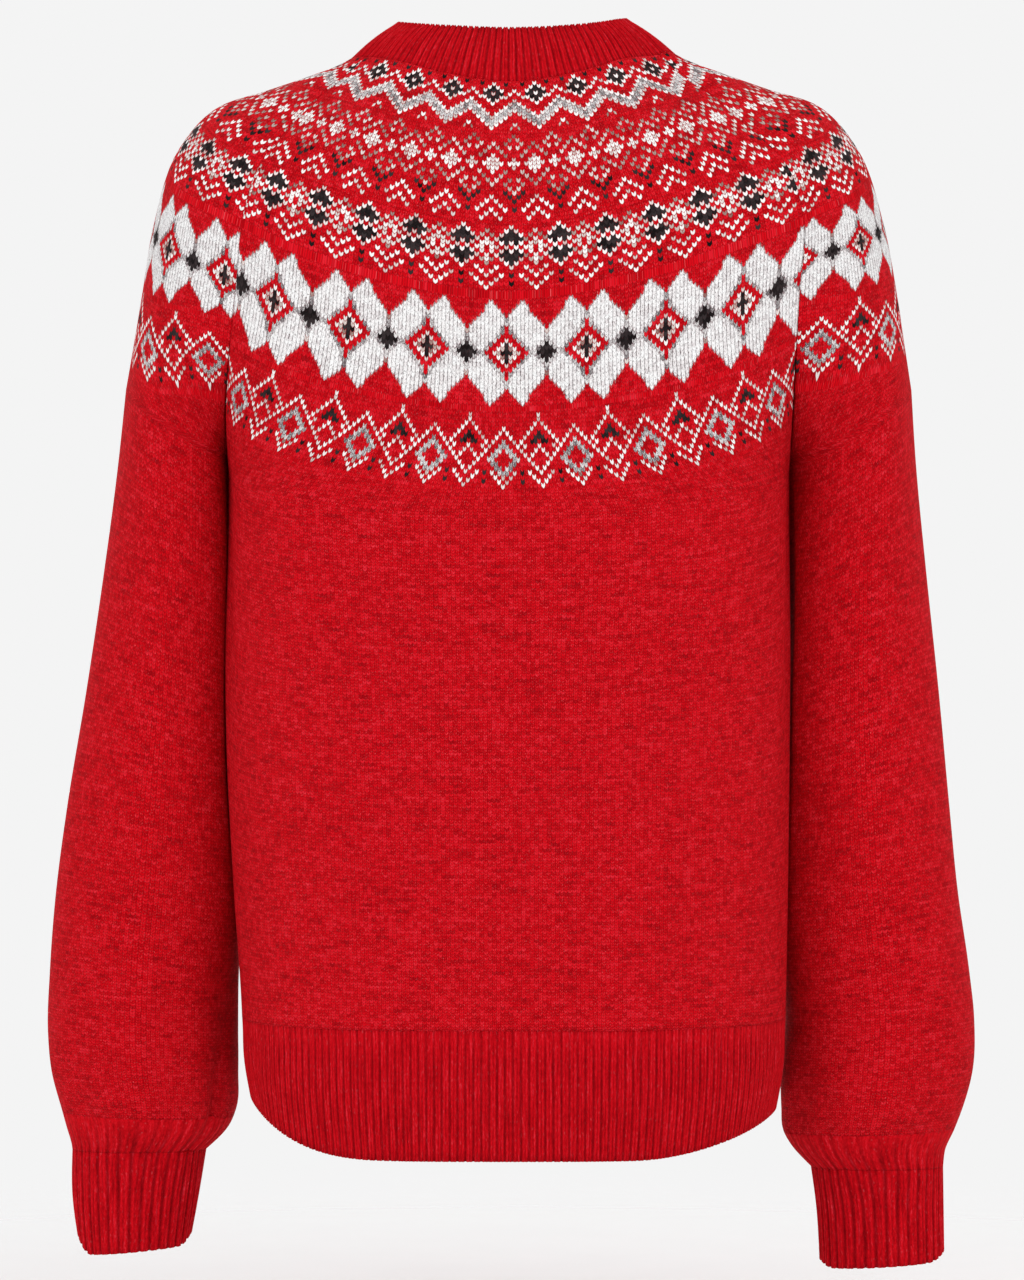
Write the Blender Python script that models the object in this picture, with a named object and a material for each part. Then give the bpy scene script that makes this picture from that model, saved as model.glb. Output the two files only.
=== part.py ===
"""Hollow worn knitted cardigan with a round patterned yoke, raglan sleeves and ribbed edges."""

import bpy
import numpy as np

MM = 0.001
WALL = 2.5            # thickness of the plain knit
RIB_WALL = 3.0        # thickness of the ribbed pieces at a rib's top
RIB_RELIEF = 0.8      # depth of the grooves between ribs
GAP = 0.15            # each piece stays this far back from its seam

YOKE_ROWS = 12        # rows of quads from neck seam to underarm
BODY_ROWS = 8         # rows from underarm to the hem's seam
ARM_ROWS = 14         # rows from underarm to the cuff's seam
BACK_COLUMNS = 22
FRONT_COLUMNS = 10
SLEEVE_COLUMNS = 24
HEM_RIBS_PER_COLUMN = 2
FRONT_HALF_RIBS = 4   # half ribs of the collar over each column of a front
BACK_HALF_RIBS = 3    # and over each column of the back
CUFF_RIBS = 34

HEM_SEAM = -536.0     # height of the seam between body and hem
HEM_BOTTOM = -608.0
HEM_RISE = (28.0, 21.0)  # the hem's bottom edge rises this far to the left and right seam
HEM_TURN = (2.8, 1.9)    # and more suddenly as this grows
SIDE_Y = -3.0         # the side seams lie here

BAND_HALF = 14.0      # half width of the button bands
BAND_RAMP = 8.0       # the upper band climbs onto the lower one over this width
BUTTONS = 8
BUTTON_RADIUS = 8.5
BUTTON_HEIGHT = 3.2

# Distance of each yoke level from the neck seam, measured on the cloth.
LEVELS = (0, 20, 45, 75, 110, 150, 195, 225, 250)

# Lines that run from the neck down the yoke, one row for each level: out, back, up.
YOKE = {
    "centre_back": (
        (0, 66, -9.5), (0, 77, -26), (0, 89, -48), (0, 98, -76.5), (0, 104, -111),
        (0, 107.5, -151), (0, 109, -196), (0, 109, -226), (0, 109, -251),
    ),
    "mid_back": (
        (38, 60, -8.5), (44, 71, -24.5), (52, 83, -45.5), (60, 92, -72.5), (66, 99, -107),
        (70, 103.5, -147), (72, 106, -193), (74, 106.5, -224), (76, 106.5, -249),
    ),
    "blade": (
        (73, 44, -6), (84, 56, -20.5), (97, 69, -39), (110, 80, -65), (119, 88, -99),
        (123, 92.5, -139), (128, 92, -184), (131, 89, -214), (134, 83, -241),
    ),
    "back_seam": (
        (93, 22, -1), (105, 36, -13), (121, 51, -31), (138, 64, -54), (148, 73, -86),
        (152, 75, -125), (157, 63, -168), (159.5, 40, -198), (160, SIDE_Y, -222),
    ),
    "arm_back_inner": (
        (95, 16, 3), (109.5, 28, -7.5), (128, 41, -23), (150, 54, -44), (164, 63, -74),
        (171, 66.5, -112), (177, 65, -155), (175, 58, -186), (168, 38, -217),
    ),
    "arm_back": (
        (96, 9, 6), (113.5, 17, -2.5), (135, 27, -15), (161, 36, -32), (179, 45, -61),
        (190, 48, -98), (197, 49, -141), (200, 48.5, -171), (201, 47, -196),
    ),
    "arm_outer": (
        (96, 0, 8), (114.6, 0, 0.8), (138, -1, -7), (167, -2, -17), (189.5, -3, -42),
        (202, -4, -80), (209.5, -5, -124), (214.5, -5, -154), (219, -5, -178),
    ),
    "arm_front": (
        (94, -12, 5.5), (112.5, -19, -1), (134, -28, -12), (159, -39, -28), (177, -50, -57),
        (188, -54, -94), (196, -56, -138), (199, -56, -168), (201, -55, -196),
    ),
    "arm_front_inner": (
        (91, -24, 1.5), (107, -35, -6), (126, -48, -18), (147, -61, -39), (162, -71, -70),
        (170, -74.5, -108), (175, -72, -152), (174, -64, -184), (168, -44, -217),
    ),
    "front_seam": (
        (86, -36, -4), (100, -49, -13), (117, -63, -28), (134, -76, -51), (145, -84, -83),
        (151, -85, -122), (156, -72, -166), (159, -48, -197), (160, SIDE_Y, -222),
    ),
    "front_side": (
        (72, -56, -16), (83, -69, -28), (96, -81, -46), (109, -92, -72), (118, -99, -106),
        (123, -103, -146), (128, -101, -190), (131, -97, -219), (134, -91, -243),
    ),
    "mid_front": (
        (42, -76, -33), (48, -87, -47), (55, -97, -68), (61, -105, -95), (66, -111, -130),
        (70, -115, -169), (73, -117, -212), (75, -117.5, -240), (77, -117.5, -262),
    ),
    "centre_front": (
        (0, -88, -45), (0, -99, -60), (0, -108, -82), (0, -114.5, -109), (0, -118.5, -143),
        (0, -120.5, -181), (0, -121, -223), (0, -121, -249), (0, -121, -270),
    ),
}
# The wearer's right shoulder stands out this much further, one value for each level.
RIGHT_OUT = (4, 7, 9, 10, 10.5, 11, 12, 11.5, 11)
RIGHT_SEAM_OUT = (5, 8, 11, 16, 16, 10, 3, 0, 0)
RIGHT_UP = (3, 2, 1, 1, 0, 0, 0, 0, 0)
RIGHT_COLLAR = 1.06   # and the collar's right half is this much wider

# Torso sections: height, half width left and right, depth of back and front.
TORSO = (
    (-222, 160, 160, 109, 121),
    (-300, 162, 161, 107.5, 119),
    (-380, 161.5, 160.5, 105, 115),
    (-460, 157.5, 159.5, 104, 112),
    (-536, 152.5, 158, 105, 112),
    (-575, 151.5, 157, 105, 111),
    (-608, 148, 153, 102, 108),
)
TORSO_SQUARE = 2.6    # 2 gives an ellipse, more a squarer section

# Sleeve sections below the underarm: height, outer and inner edge, half depth, centre in depth.
ARM_LEFT = (
    (-178, 219.0, 160.5, 52, -4),
    (-212, 223.0, 160.0, 53, -9),
    (-281, 233.0, 156.5, 54, -22),
    (-350, 244.0, 155.0, 54, -31),
    (-419, 256.0, 153.5, 54, -38),
    (-466, 262.5, 153.5, 54, -42),
    (-513, 266.4, 157.0, 54, -45),
    (-548, 267.7, 157.5, 53, -47),
    (-572, 265.5, 157.5, 51, -48),
    (-594, 259.7, 158.8, 46, -49),
    (-606, 256.5, 164.6, 38, -49),
    (-613, 254.5, 171.5, 31, -49),
    (-617, 254.0, 176.0, 27, -49),
)
ARM_RIGHT = (
    (-178, 230.0, 160.5, 52, -4),
    (-212, 232.5, 160.0, 53, -9),
    (-281, 240.0, 156.5, 54, -22),
    (-350, 248.0, 155.0, 54, -31),
    (-419, 255.0, 154.0, 54, -38),
    (-466, 260.0, 155.0, 54, -42),
    (-513, 267.0, 158.5, 54, -45),
    (-540, 270.0, 160.5, 53, -47),
    (-572, 269.0, 158.0, 51, -48),
    (-594, 262.9, 158.5, 49, -49),
    (-606, 258.3, 159.4, 43, -49),
    (-617, 253.5, 165.9, 35, -49),
    (-623, 252.8, 171.5, 30, -49),
    (-627, 252.5, 175.5, 27, -49),
)
# Cuff sections: height, outer and inner edge, half depth, centre in depth.
CUFF_LEFT = (
    (-617, 254.0, 176.0, 27, -49),
    (-640, 254.5, 179.5, 26, -50),
    (-674.5, 251.5, 184.5, 25, -51),
)
CUFF_RIGHT = (
    (-627, 252.5, 175.5, 27, -49),
    (-650, 253.0, 178.5, 26, -50),
    (-683, 253.5, 180.5, 25, -51),
)
# Bottom edge of the cuffs: slant from inner to outer edge, rounding of the outer and inner corner.
CUFF_EDGE = {1: (-6.0, 12.0, 6.0), -1: (4.4, 5.0, 4.0)}
ARM_SQUARE = 2.25

# Folds of the sleeves: around (0 outer, 0.25 back), height, half width around, half height, depth.
ARM_FOLDS_LEFT = (
    (0.30, -592, 0.045, 46, 3.5),
    (0.14, -588, 0.035, 30, 2.0),
    (0.42, -560, 0.050, 60, 3.0),
    (0.20, -300, 0.060, 60, 1.5),
    (0.70, -585, 0.045, 40, 3.0),
    (0.84, -590, 0.035, 30, 2.0),
)
ARM_FOLDS_RIGHT = (
    (0.36, -416, 0.060, 16, 2.5),
    (0.26, -522, 0.060, 14, 2.2),
    (0.40, -586, 0.045, 34, 3.0),
    (0.16, -592, 0.035, 26, 2.0),
    (0.70, -585, 0.045, 40, 3.0),
    (0.86, -590, 0.035, 30, 2.0),
)

# Collar: rise along its slope from seam to top edge, as out, back and up for each line of the yoke.
COLLAR_TOP = {
    "centre_back": (0, 48, 23),
    "mid_back": (26, 44, 24.5),
    "blade": (48, 33, 28),
    "back_seam": (60, 16, 32),
    "arm_back_inner": (62.5, 10, 33),
    "arm_back": (63.5, 4, 33.5),
    "arm_outer": (64, -3, 33),
    "arm_front": (63, -12, 31),
    "arm_front_inner": (61, -21, 28),
    "front_seam": (58, -31, 23),
    "front_side": (47, -48, 9),
    "mid_front": (26, -61, -8),
    "centre_front": (0, -66, -15),
}
COLLAR_BOW = 1.5      # the collar bows out between its two edges
LEFT_COLLAR_DROP = 2.0   # its corner at the left shoulder stands this much lower

# The neck's seam curves: it lies this far above a line's first point on the left and right side,
# on the way to the collar's top, and so do the rows below it as far as RISE_FROM.
NECK_RISE = {
    "mid_back": (6, 6),
    "blade": (15.5, 17),
    "back_seam": (17, 19),
    "arm_back_inner": (13, 13),
    "arm_back": (9, 8),
    "arm_outer": (6.5, 5),
    "arm_front": (6, 5),
    "arm_front_inner": (6, 6),
    "front_seam": (6, 6),
    "front_side": (3, 3),
}
RISE_FROM = 150

RED = (0.50, 0.008, 0.015, 1)
DARK_RED = (0.42, 0.006, 0.012, 1)
BUTTON_COLOUR = (0.32, 0.01, 0.015, 1)

BODY_LINES = ("back_seam", "blade", "mid_back", "centre_back")
FRONT_LINES = ("front_seam", "front_side", "mid_front", "centre_front")
ARM_LINES = (
    "back_seam", "arm_back_inner", "arm_back", "arm_outer",
    "arm_front", "arm_front_inner", "front_seam",
)


def slopes(knots, values):
    """Slope at each knot, from the parabola through it and its two neighbours."""
    steps = np.diff(knots)
    rises = np.diff(values, axis=0) / steps[:, None]
    inner = (rises[:-1] * steps[1:, None] + rises[1:] * steps[:-1, None])
    inner = inner / (steps[:-1] + steps[1:])[:, None]
    first = 1.5 * rises[0] - 0.5 * inner[0]
    last = 1.5 * rises[-1] - 0.5 * inner[-1]
    return np.vstack([first, inner, last])


def smooth(knots, values, at, tangents=None):
    """Smooth curve through the values at rising knots, read at the places given."""
    knots = np.asarray(knots, float)
    values = np.asarray(values, float)
    at = np.clip(np.atleast_1d(np.asarray(at, float)), knots[0], knots[-1])
    if tangents is None:
        tangents = slopes(knots, values)
    k = np.clip(np.searchsorted(knots, at, side="right") - 1, 0, len(knots) - 2)
    width = (knots[k + 1] - knots[k])[:, None]
    t = ((at - knots[k]) / width[:, 0])[:, None]
    near = (1 + 2 * t) * (1 - t) ** 2 * values[k] + t * (1 - t) ** 2 * width * tangents[k]
    far = t ** 2 * (3 - 2 * t) * values[k + 1] - t ** 2 * (1 - t) * width * tangents[k + 1]
    return near + far


def sections(table, heights):
    """Columns of a table of sections, whose first column is the height, at the heights given."""
    rows = np.array(sorted(table), float)
    return smooth(rows[:, 0], rows[:, 1:], heights)


def ease(x):
    x = np.clip(x, 0, 1)
    return x * x * (3 - 2 * x)


def unit(v):
    return v / np.maximum(np.linalg.norm(v, axis=-1, keepdims=True), 1e-9)


def line_points(name, side, distances):
    """A yoke line on the left (side 1) or right (side -1) at distances from the neck seam."""
    distances = np.atleast_1d(np.asarray(distances, float))
    rise = NECK_RISE.get(name, (0, 0))[0 if side > 0 else 1]
    places = distances - rise * (1 - ease((distances - RISE_FROM) / (LEVELS[-1] - RISE_FROM)))
    collar = np.linalg.norm(np.subtract(COLLAR_TOP[name], YOKE[name][0]))
    points = smooth((-collar, *LEVELS), (COLLAR_TOP[name], *YOKE[name]), places)
    if side < 0:
        if name.startswith("arm"):
            points[:, 0] += smooth(LEVELS, np.array(RIGHT_OUT)[:, None], places)[:, 0]
            points[:, 2] += smooth(LEVELS, np.array(RIGHT_UP)[:, None], places)[:, 0]
        if name.endswith(("seam", "blade", "side")):
            part = 1 if name.endswith("seam") else 0.5
            out = smooth(LEVELS, np.array(RIGHT_SEAM_OUT)[:, None], places)[:, 0]
            points[:, 0] += part * out
        points[:, 0] *= -1
    return points


def gathered(shares, level, most, power):
    """Shares measured from a centre, drawn toward it where the underarm widens the row."""
    part = most * np.interp(level, (180, 225, 250, 300, 460), (0, 0.5, 1, 0.8, 0))
    return shares * (1 - part) + part * np.sign(shares) * np.abs(shares) ** power


def through(points, at, start=None, end=None):
    """Smooth curve through points, read at shares of its length, with end directions if given."""
    knots = np.concatenate([[0], np.cumsum(np.linalg.norm(np.diff(points, axis=0), axis=1))])
    tangents = slopes(knots, points)
    if start is not None:
        tangents[0] = start
    if end is not None:
        tangents[-1] = end
    dense = smooth(knots, points, np.linspace(0, knots[-1], 241), tangents)
    walked = np.concatenate([[0], np.cumsum(np.linalg.norm(np.diff(dense, axis=0), axis=1))])
    wanted = np.asarray(at) * walked[-1]
    return np.stack([np.interp(wanted, walked, dense[:, k]) for k in range(3)], axis=1)


def torso_point(side, share, height):
    """A torso point: share 0 is the centre back, 1 the side seam, 2 the centre front."""
    left, right, back, front = sections(TORSO, height)[0]
    width = left if side > 0 else right
    angle = (1 - share) * np.pi / 2
    c = np.abs(np.cos(angle)) ** (2 / TORSO_SQUARE)
    s = np.abs(np.sin(angle)) ** (2 / TORSO_SQUARE)
    depth = back - SIDE_Y if share < 1 else front + SIDE_Y
    return np.array([side * width * c, SIDE_Y + (depth * s if share < 1 else -depth * s), height])


def level_line(lines, side, level):
    """Control points of one body row: yoke lines down to the underarm, torso sections below it."""
    if level <= LEVELS[-1]:
        return np.array([line_points(name, side, level)[0] for name in lines])
    last = np.array([line_points(name, side, LEVELS[-1])[0] for name in lines])
    share = (level - LEVELS[-1]) / (-222 - HEM_SEAM)
    back = lines is BODY_LINES
    places = (1, 0.60, 0.32, 0) if back else (1, 1.40, 1.68, 2)
    points = []
    for point, place in zip(last, places):
        height = point[2] + (HEM_SEAM - point[2]) * share
        low = torso_point(side, place, height)
        blend = ease((point[2] - height) / 120)
        top = np.array([point[0], point[1], height])
        points.append(top * (1 - blend) + low * blend)
    return np.array(points)


def join_direction(side, level, body_line, seam, arm_line):
    """Direction across a raglan seam that both pieces share where the cloth lies smooth."""
    a = line_points(body_line, side, level)[0]
    b = line_points(seam, side, level)[0]
    c = line_points(arm_line, side, level)[0]
    return unit(unit(b - a) + unit(c - b))


YOKE_LEVELS = LEVELS[-1] * np.linspace(0, 1, YOKE_ROWS + 1)
YOKE_LEVELS = YOKE_LEVELS * (0.86 + 0.14 * YOKE_LEVELS / LEVELS[-1])
BODY_LEVELS = np.concatenate(
    [YOKE_LEVELS, LEVELS[-1] + (-222 - HEM_SEAM) * np.linspace(0, 1, BODY_ROWS + 1)[1:]]
)


def body_row(lines, side, level, shares):
    """Points of one body row from its raglan or side seam to the centre line."""
    points = level_line(lines, side, level)
    start = None
    if level <= LEVELS[-1]:
        back = lines is BODY_LINES
        names = ("blade", "back_seam", "arm_back_inner")
        if not back:
            names = ("front_side", "front_seam", "arm_front_inner")
        shared = -join_direction(side, level, *names)
        knots = np.linalg.norm(np.diff(points, axis=0), axis=1)
        own = slopes(np.concatenate([[0], np.cumsum(knots)]), points)[0]
        loose = ease((level - 110) / 90)
        start = shared * (1 - loose) + own * loose
        straight = ease((level - 170) / 80)
        facing = np.array([0, 1.0 if back else -1.0, -0.35])
        start = start * (1 - straight) + facing * straight
    else:
        start = np.array([0, 1.0 if lines is BODY_LINES else -1.0, 0])
    end = np.array([-side, 0, 0])
    shares = 1 - gathered(1 - np.asarray(shares), level, 0.24, 4)
    return through(points, shares, start, end)


def sleeve_fold(side, around, height):
    """How far the sleeve's folds draw the cloth in at a place."""
    depth = 0
    for place, level, width, tall, deep in ARM_FOLDS_LEFT if side > 0 else ARM_FOLDS_RIGHT:
        away = np.abs((around - place + 0.5) % 1 - 0.5) / width
        fall = (height - level) / tall
        depth = depth + deep * np.exp(-away ** 2 - fall ** 2)
    return depth


def tube_row(table, side, share, top, around):
    """Closed section of a sleeve or cuff: around 0 is its inner line, 0.25 back, 0.5 outer."""
    rows = np.array(sorted(table, reverse=True), float)
    low = rows[-1, 0]
    outer_height = rows[0, 0] + (low - rows[0, 0]) * share
    inner_height = top + (low - top) * share
    mid = 0.5 * (outer_height + inner_height)
    outer = sections(table, [outer_height])[0][0]
    inner, _, _ = sections(table, [inner_height])[0][1:]
    _, _, depth, centre = sections(table, [mid])[0]
    angle = 2 * np.pi * around
    c = -np.cos(angle)
    s = np.sin(angle)
    c = np.sign(c) * np.abs(c) ** (2 / ARM_SQUARE)
    s = np.sign(s) * np.abs(s) ** (2 / ARM_SQUARE)
    x = 0.5 * (outer + inner) + 0.5 * (outer - inner) * c
    y = centre + depth * s
    z = mid + 0.5 * (outer_height - inner_height) * c
    points = np.stack([x, y, z], axis=1)
    middle = np.array([0.5 * (outer + inner), centre, 0])
    folded = sleeve_fold(side, (0.5 - around) % 1, z)
    inward = unit((middle - points) * np.array([1, 1, 0]))
    points = points + inward * folded[:, None]
    # The sleeve stays clear of the body's side.
    for point in points:
        if point[2] < -215:
            left, right, back, front = sections(TORSO, [max(point[2], -608)])[0]
            width = left if side > 0 else right
            deep = back - SIDE_Y if point[1] > SIDE_Y else front + SIDE_Y
            away = min(abs(point[1] - SIDE_Y) / deep, 1)
            edge = width * (1 - away ** TORSO_SQUARE) ** (1 / TORSO_SQUARE)
            point[0] = max(point[0], edge + 1.2)
    points[:, 0] *= side
    return points


def sleeve_row(side, level, shares):
    """Points of a yoke row of the sleeve, from the back seam round the arm to the front seam."""
    points = np.array([line_points(name, side, level)[0] for name in ARM_LINES])
    apart = ease((level - 150) / 100)
    points[0, 0] += side * apart
    points[-1, 0] += side * apart
    first = join_direction(side, level, "blade", "back_seam", "arm_back_inner")
    last = -join_direction(side, level, "front_side", "front_seam", "arm_front_inner")
    knots = np.concatenate([[0], np.cumsum(np.linalg.norm(np.diff(points, axis=0), axis=1))])
    own = slopes(knots, points)
    loose = ease((level - 110) / 90)
    start = first * (1 - loose) + own[0] * loose
    end = last * (1 - loose) + own[-1] * loose
    turn = ease((level - 190) / 60)
    start = start * (1 - turn) + np.array([side * 0.1, 1, 0.1]) * turn
    end = end * (1 - turn) + np.array([-side * 0.1, 1, -0.1]) * turn
    shares = 0.5 + 0.5 * gathered(2 * shares - 1, level, 0.2, 5)
    return through(points, shares, start, end)


def grid_normals(grid, wrap_from=None):
    """Outward directions of a grid of points, whose rows from wrap_from on close on themselves."""
    down = np.gradient(grid, axis=0)
    across = np.gradient(grid, axis=1)
    if wrap_from is not None:
        ring = grid[wrap_from:, 1] - grid[wrap_from:, -2]
        across[wrap_from:, 0] = 0.5 * ring
        across[wrap_from:, -1] = 0.5 * ring
    return unit(np.cross(across, down))


def make_object(name, points, faces, colour, roughness=0.9):
    mesh = bpy.data.meshes.new(name)
    mesh.from_pydata([tuple(p * MM) for p in points], [], faces)
    mesh.update()
    for face in mesh.polygons:
        face.use_smooth = True
    material = bpy.data.materials.new(name + "_material")
    material.use_nodes = True
    shader = material.node_tree.nodes["Principled BSDF"]
    shader.inputs["Base Color"].default_value = colour
    shader.inputs["Roughness"].default_value = roughness
    shader.inputs["Metallic"].default_value = 0
    mesh.materials.append(material)
    made = bpy.data.objects.new(name, mesh)
    bpy.context.scene.collection.objects.link(made)
    return made


def turned_in(points, faces):
    """True if the faces of a closed mesh look into it."""
    volume = 0
    for face in faces:
        corners = points[list(face)]
        for k in range(1, len(face) - 1):
            volume += np.dot(corners[0], np.cross(corners[k], corners[k + 1]))
    return volume < 0


def wall(name, outer, inner, colour, wrap_from=None):
    """Closed wall between two grids of the same size. Rows from wrap_from on join into rings."""
    rows, columns = outer.shape[:2]
    wrap_from = rows if wrap_from is None else wrap_from
    index = np.arange(rows * columns).reshape(rows, columns)
    index[wrap_from:, -1] = index[wrap_from:, 0]
    used = np.unique(index)
    fresh = np.full(rows * columns, -1)
    fresh[used] = np.arange(len(used))
    index = fresh[index]
    count = len(used)
    points = np.vstack([outer.reshape(-1, 3)[used], inner.reshape(-1, 3)[used]])
    faces = []
    for i in range(rows - 1):
        for j in range(columns - 1):
            a, b = index[i, j], index[i, j + 1]
            c, d = index[i + 1, j + 1], index[i + 1, j]
            faces.append((a, b, c, d))
            faces.append((a + count, d + count, c + count, b + count))
    for j in range(columns - 1):
        a, b = index[0, j], index[0, j + 1]
        faces.append((b, a, a + count, b + count))
        a, b = index[-1, j], index[-1, j + 1]
        faces.append((a, b, b + count, a + count))
    for i in range(min(wrap_from, rows - 1)):
        a, b = index[i, 0], index[i + 1, 0]
        faces.append((a, b, b + count, a + count))
        a, b = index[i, -1], index[i + 1, -1]
        faces.append((b, a, a + count, b + count))
    faces = [tuple(int(k) for k in face) for face in faces]
    if turned_in(points, faces):
        faces = [face[::-1] for face in faces]
    return make_object(name, points, faces, colour)


def pull_in(grid, sides):
    """Moves a grid's edges back from their seams by the gap, along the cloth."""
    grid = grid.copy()
    if "top" in sides:
        grid[0] += GAP * unit(grid[1] - grid[0])
    if "bottom" in sides:
        grid[-1] += GAP * unit(grid[-2] - grid[-1])
    if "start" in sides:
        grid[:, 0] += GAP * unit(grid[:, 1] - grid[:, 0])
    if "end" in sides:
        grid[:, -1] += GAP * unit(grid[:, -2] - grid[:, -1])
    return grid


def share_normals(one, two, from_one_to_two):
    """Both pieces take the mean direction at a seam, unless the seam lies in a valley."""
    mean = unit(one + two)
    ridge = ((one - two) * from_one_to_two).sum(axis=-1, keepdims=True) < 0.02
    return np.where(ridge, mean, one), np.where(ridge, mean, two)


def level_normals(normals):
    """Directions with no slope, so that the edge's rim lies flat."""
    return unit(normals * np.array([1, 1, 0]))


def ribbed(base, normals, phase=0):
    """Outer and inner points of a ribbed wall: every second column lies in a groove."""
    relief = np.where((np.arange(base.shape[1]) + phase) % 2 == 0, 0, -RIB_RELIEF)
    outer = base + normals * relief[None, :, None]
    inner = base - normals * RIB_WALL
    return outer, inner


def build_body():
    """Grids of the back and fronts, from seam to seam, with their outward directions."""
    grids = {}
    half = np.linspace(0, 1, BACK_COLUMNS // 2 + 1)
    rows = []
    for level in BODY_LEVELS:
        left = body_row(BODY_LINES, 1, level, half)
        right = body_row(BODY_LINES, -1, level, half)
        rows.append(np.vstack([left, right[::-1][1:]]))
    grids["back"] = np.array(rows)
    edges = {1: BAND_HALF, -1: BAND_HALF + BAND_RAMP}
    dense = np.linspace(0, 1, 401)
    for side, name in ((1, "front_left"), (-1, "front_right")):
        rows = []
        for level in BODY_LEVELS:
            row = body_row(FRONT_LINES, side, level, dense)
            stop = np.interp(-edges[side], -side * row[:, 0], dense)
            shares = np.linspace(0, stop, FRONT_COLUMNS + 1)
            rows.append(body_row(FRONT_LINES, side, level, shares))
        grids[name] = np.array(rows)
    normals = {
        "back": grid_normals(grids["back"]),
        "front_left": grid_normals(grids["front_left"]),
        "front_right": grid_normals(grids["front_right"]),
    }
    return grids, normals


def build_sleeve(side):
    """Grid of a sleeve, open above the underarm and a closed tube below it."""
    shares = np.linspace(0, 1, SLEEVE_COLUMNS + 1)
    table = ARM_LEFT if side > 0 else ARM_RIGHT
    rows = [sleeve_row(side, level, shares) for level in YOKE_LEVELS]
    last = rows[-1]
    first_tube = tube_row(table, side, 0, -222, shares)
    for k in range(1, ARM_ROWS + 1):
        share = k / ARM_ROWS
        share = share + 0.07 * np.sin(np.pi * share)
        row = tube_row(table, side, share, -222, shares)
        fade = ease(1 - k / 5)
        rows.append(row + (last - first_tube) * fade)
    grid = np.array(rows)
    grid[YOKE_ROWS:, -1] = grid[YOKE_ROWS:, 0]
    return grid


def check_facing(grid, normals, centre):
    """Turns the directions round if they point at the centre."""
    inward = ((grid - centre) * normals).sum(axis=-1).mean() < 0
    return -normals if inward else normals


def hem_piece(name, edge, normals):
    """Ribbed hem below a body edge, with its bottom corners rounded up toward the side seams."""
    top = divided(edge, 2 * HEM_RIBS_PER_COLUMN)
    out = level_normals(divided(normals, 2 * HEM_RIBS_PER_COLUMN))
    rows = []
    left, right, back, front = np.array(TORSO[4][1:])
    for share in (0, 0.5, 1):
        height = HEM_SEAM + (HEM_BOTTOM - HEM_SEAM) * share
        now = sections(TORSO, [height])[0]
        row = top.copy()
        side = top[:, 0] > 0
        wide = np.where(side, now[0] / left, now[1] / right)
        deep = np.where(top[:, 1] > SIDE_Y, now[2] / back, now[3] / front)
        row[:, 0] = top[:, 0] * (1 + (wide - 1) * ease((np.abs(top[:, 0]) - 24) / 60))
        row[:, 1] = top[:, 1] * deep
        corner = np.abs(top[:, 0]) / np.where(side, left, right)
        high = np.where(side, HEM_RISE[0], HEM_RISE[1])
        turn = np.where(side, HEM_TURN[0], HEM_TURN[1])
        rise = high * np.clip((corner - 0.45) / 0.55, 0, 1) ** turn * share
        row[:, 2] = height + rise
        rows.append(row)
    grid = np.array(rows)
    grid = pull_in(grid, ("top", "start", "end"))
    outward = np.repeat(out[None], len(rows), axis=0)
    outer, inner = ribbed(grid, outward)
    return wall(name, outer, inner, DARK_RED)


def build_cuff(name, side):
    """Ribbed cuff below a sleeve, slightly slanted at its bottom edge."""
    table = CUFF_LEFT if side > 0 else CUFF_RIGHT
    count = 2 * CUFF_RIBS
    around = np.arange(count + 1) / count
    rows = []
    for share in (0, 0.34, 0.67, 1):
        top = table[0][0] - GAP
        height = top + (table[-1][0] - top) * share
        outer, inner, depth, centre = sections(table, [height])[0]
        c = -np.cos(2 * np.pi * around)
        s = np.sin(2 * np.pi * around)
        x = 0.5 * (outer + inner) + 0.5 * (outer - inner) * c
        y = centre + depth * s
        slant, at_outer, at_inner = CUFF_EDGE[side]
        rise = 0.5 * slant * c + at_outer * np.clip((c - 0.7) / 0.3, 0, 1) ** 2
        rise = (rise + at_inner * np.clip((-c - 0.8) / 0.2, 0, 1) ** 2) * share ** 2
        rows.append(np.stack([side * x, y, height + rise], axis=1))
    grid = np.array(rows)
    normals = grid_normals(grid, 0)
    middle = grid[:, :-1].mean(axis=(0, 1))
    normals = level_normals(check_facing(grid, normals, middle))
    outer, inner = ribbed(grid, normals)
    return wall(name, outer, inner, DARK_RED, wrap_from=0)


def divided(row, parts):
    """Each step of a row divided into equal parts that lie straight between its points."""
    places = np.arange((len(row) - 1) * parts + 1) / parts
    return np.stack([np.interp(places, np.arange(len(row)), row[:, k]) for k in range(3)], axis=1)


def neck_edge(grids, normals):
    """Half ribs along the neck's edge, from the left front round the back to the right front."""
    parts = (
        ("front_left", True, FRONT_HALF_RIBS), ("sleeve_left", True, 1),
        ("back", False, BACK_HALF_RIBS),
        ("sleeve_right", False, 1), ("front_right", False, FRONT_HALF_RIBS),
    )
    points, out = [], []
    for name, turned, count in parts:
        row, direction = grids[name][0], normals[name][0]
        if turned:
            row, direction = row[::-1], direction[::-1]
        row, direction = divided(row, count), divided(direction, count)
        points.extend(row if not points else row[1:])
        out.extend(direction if not out else direction[1:])
    return np.array(points), unit(np.array(out))


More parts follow.
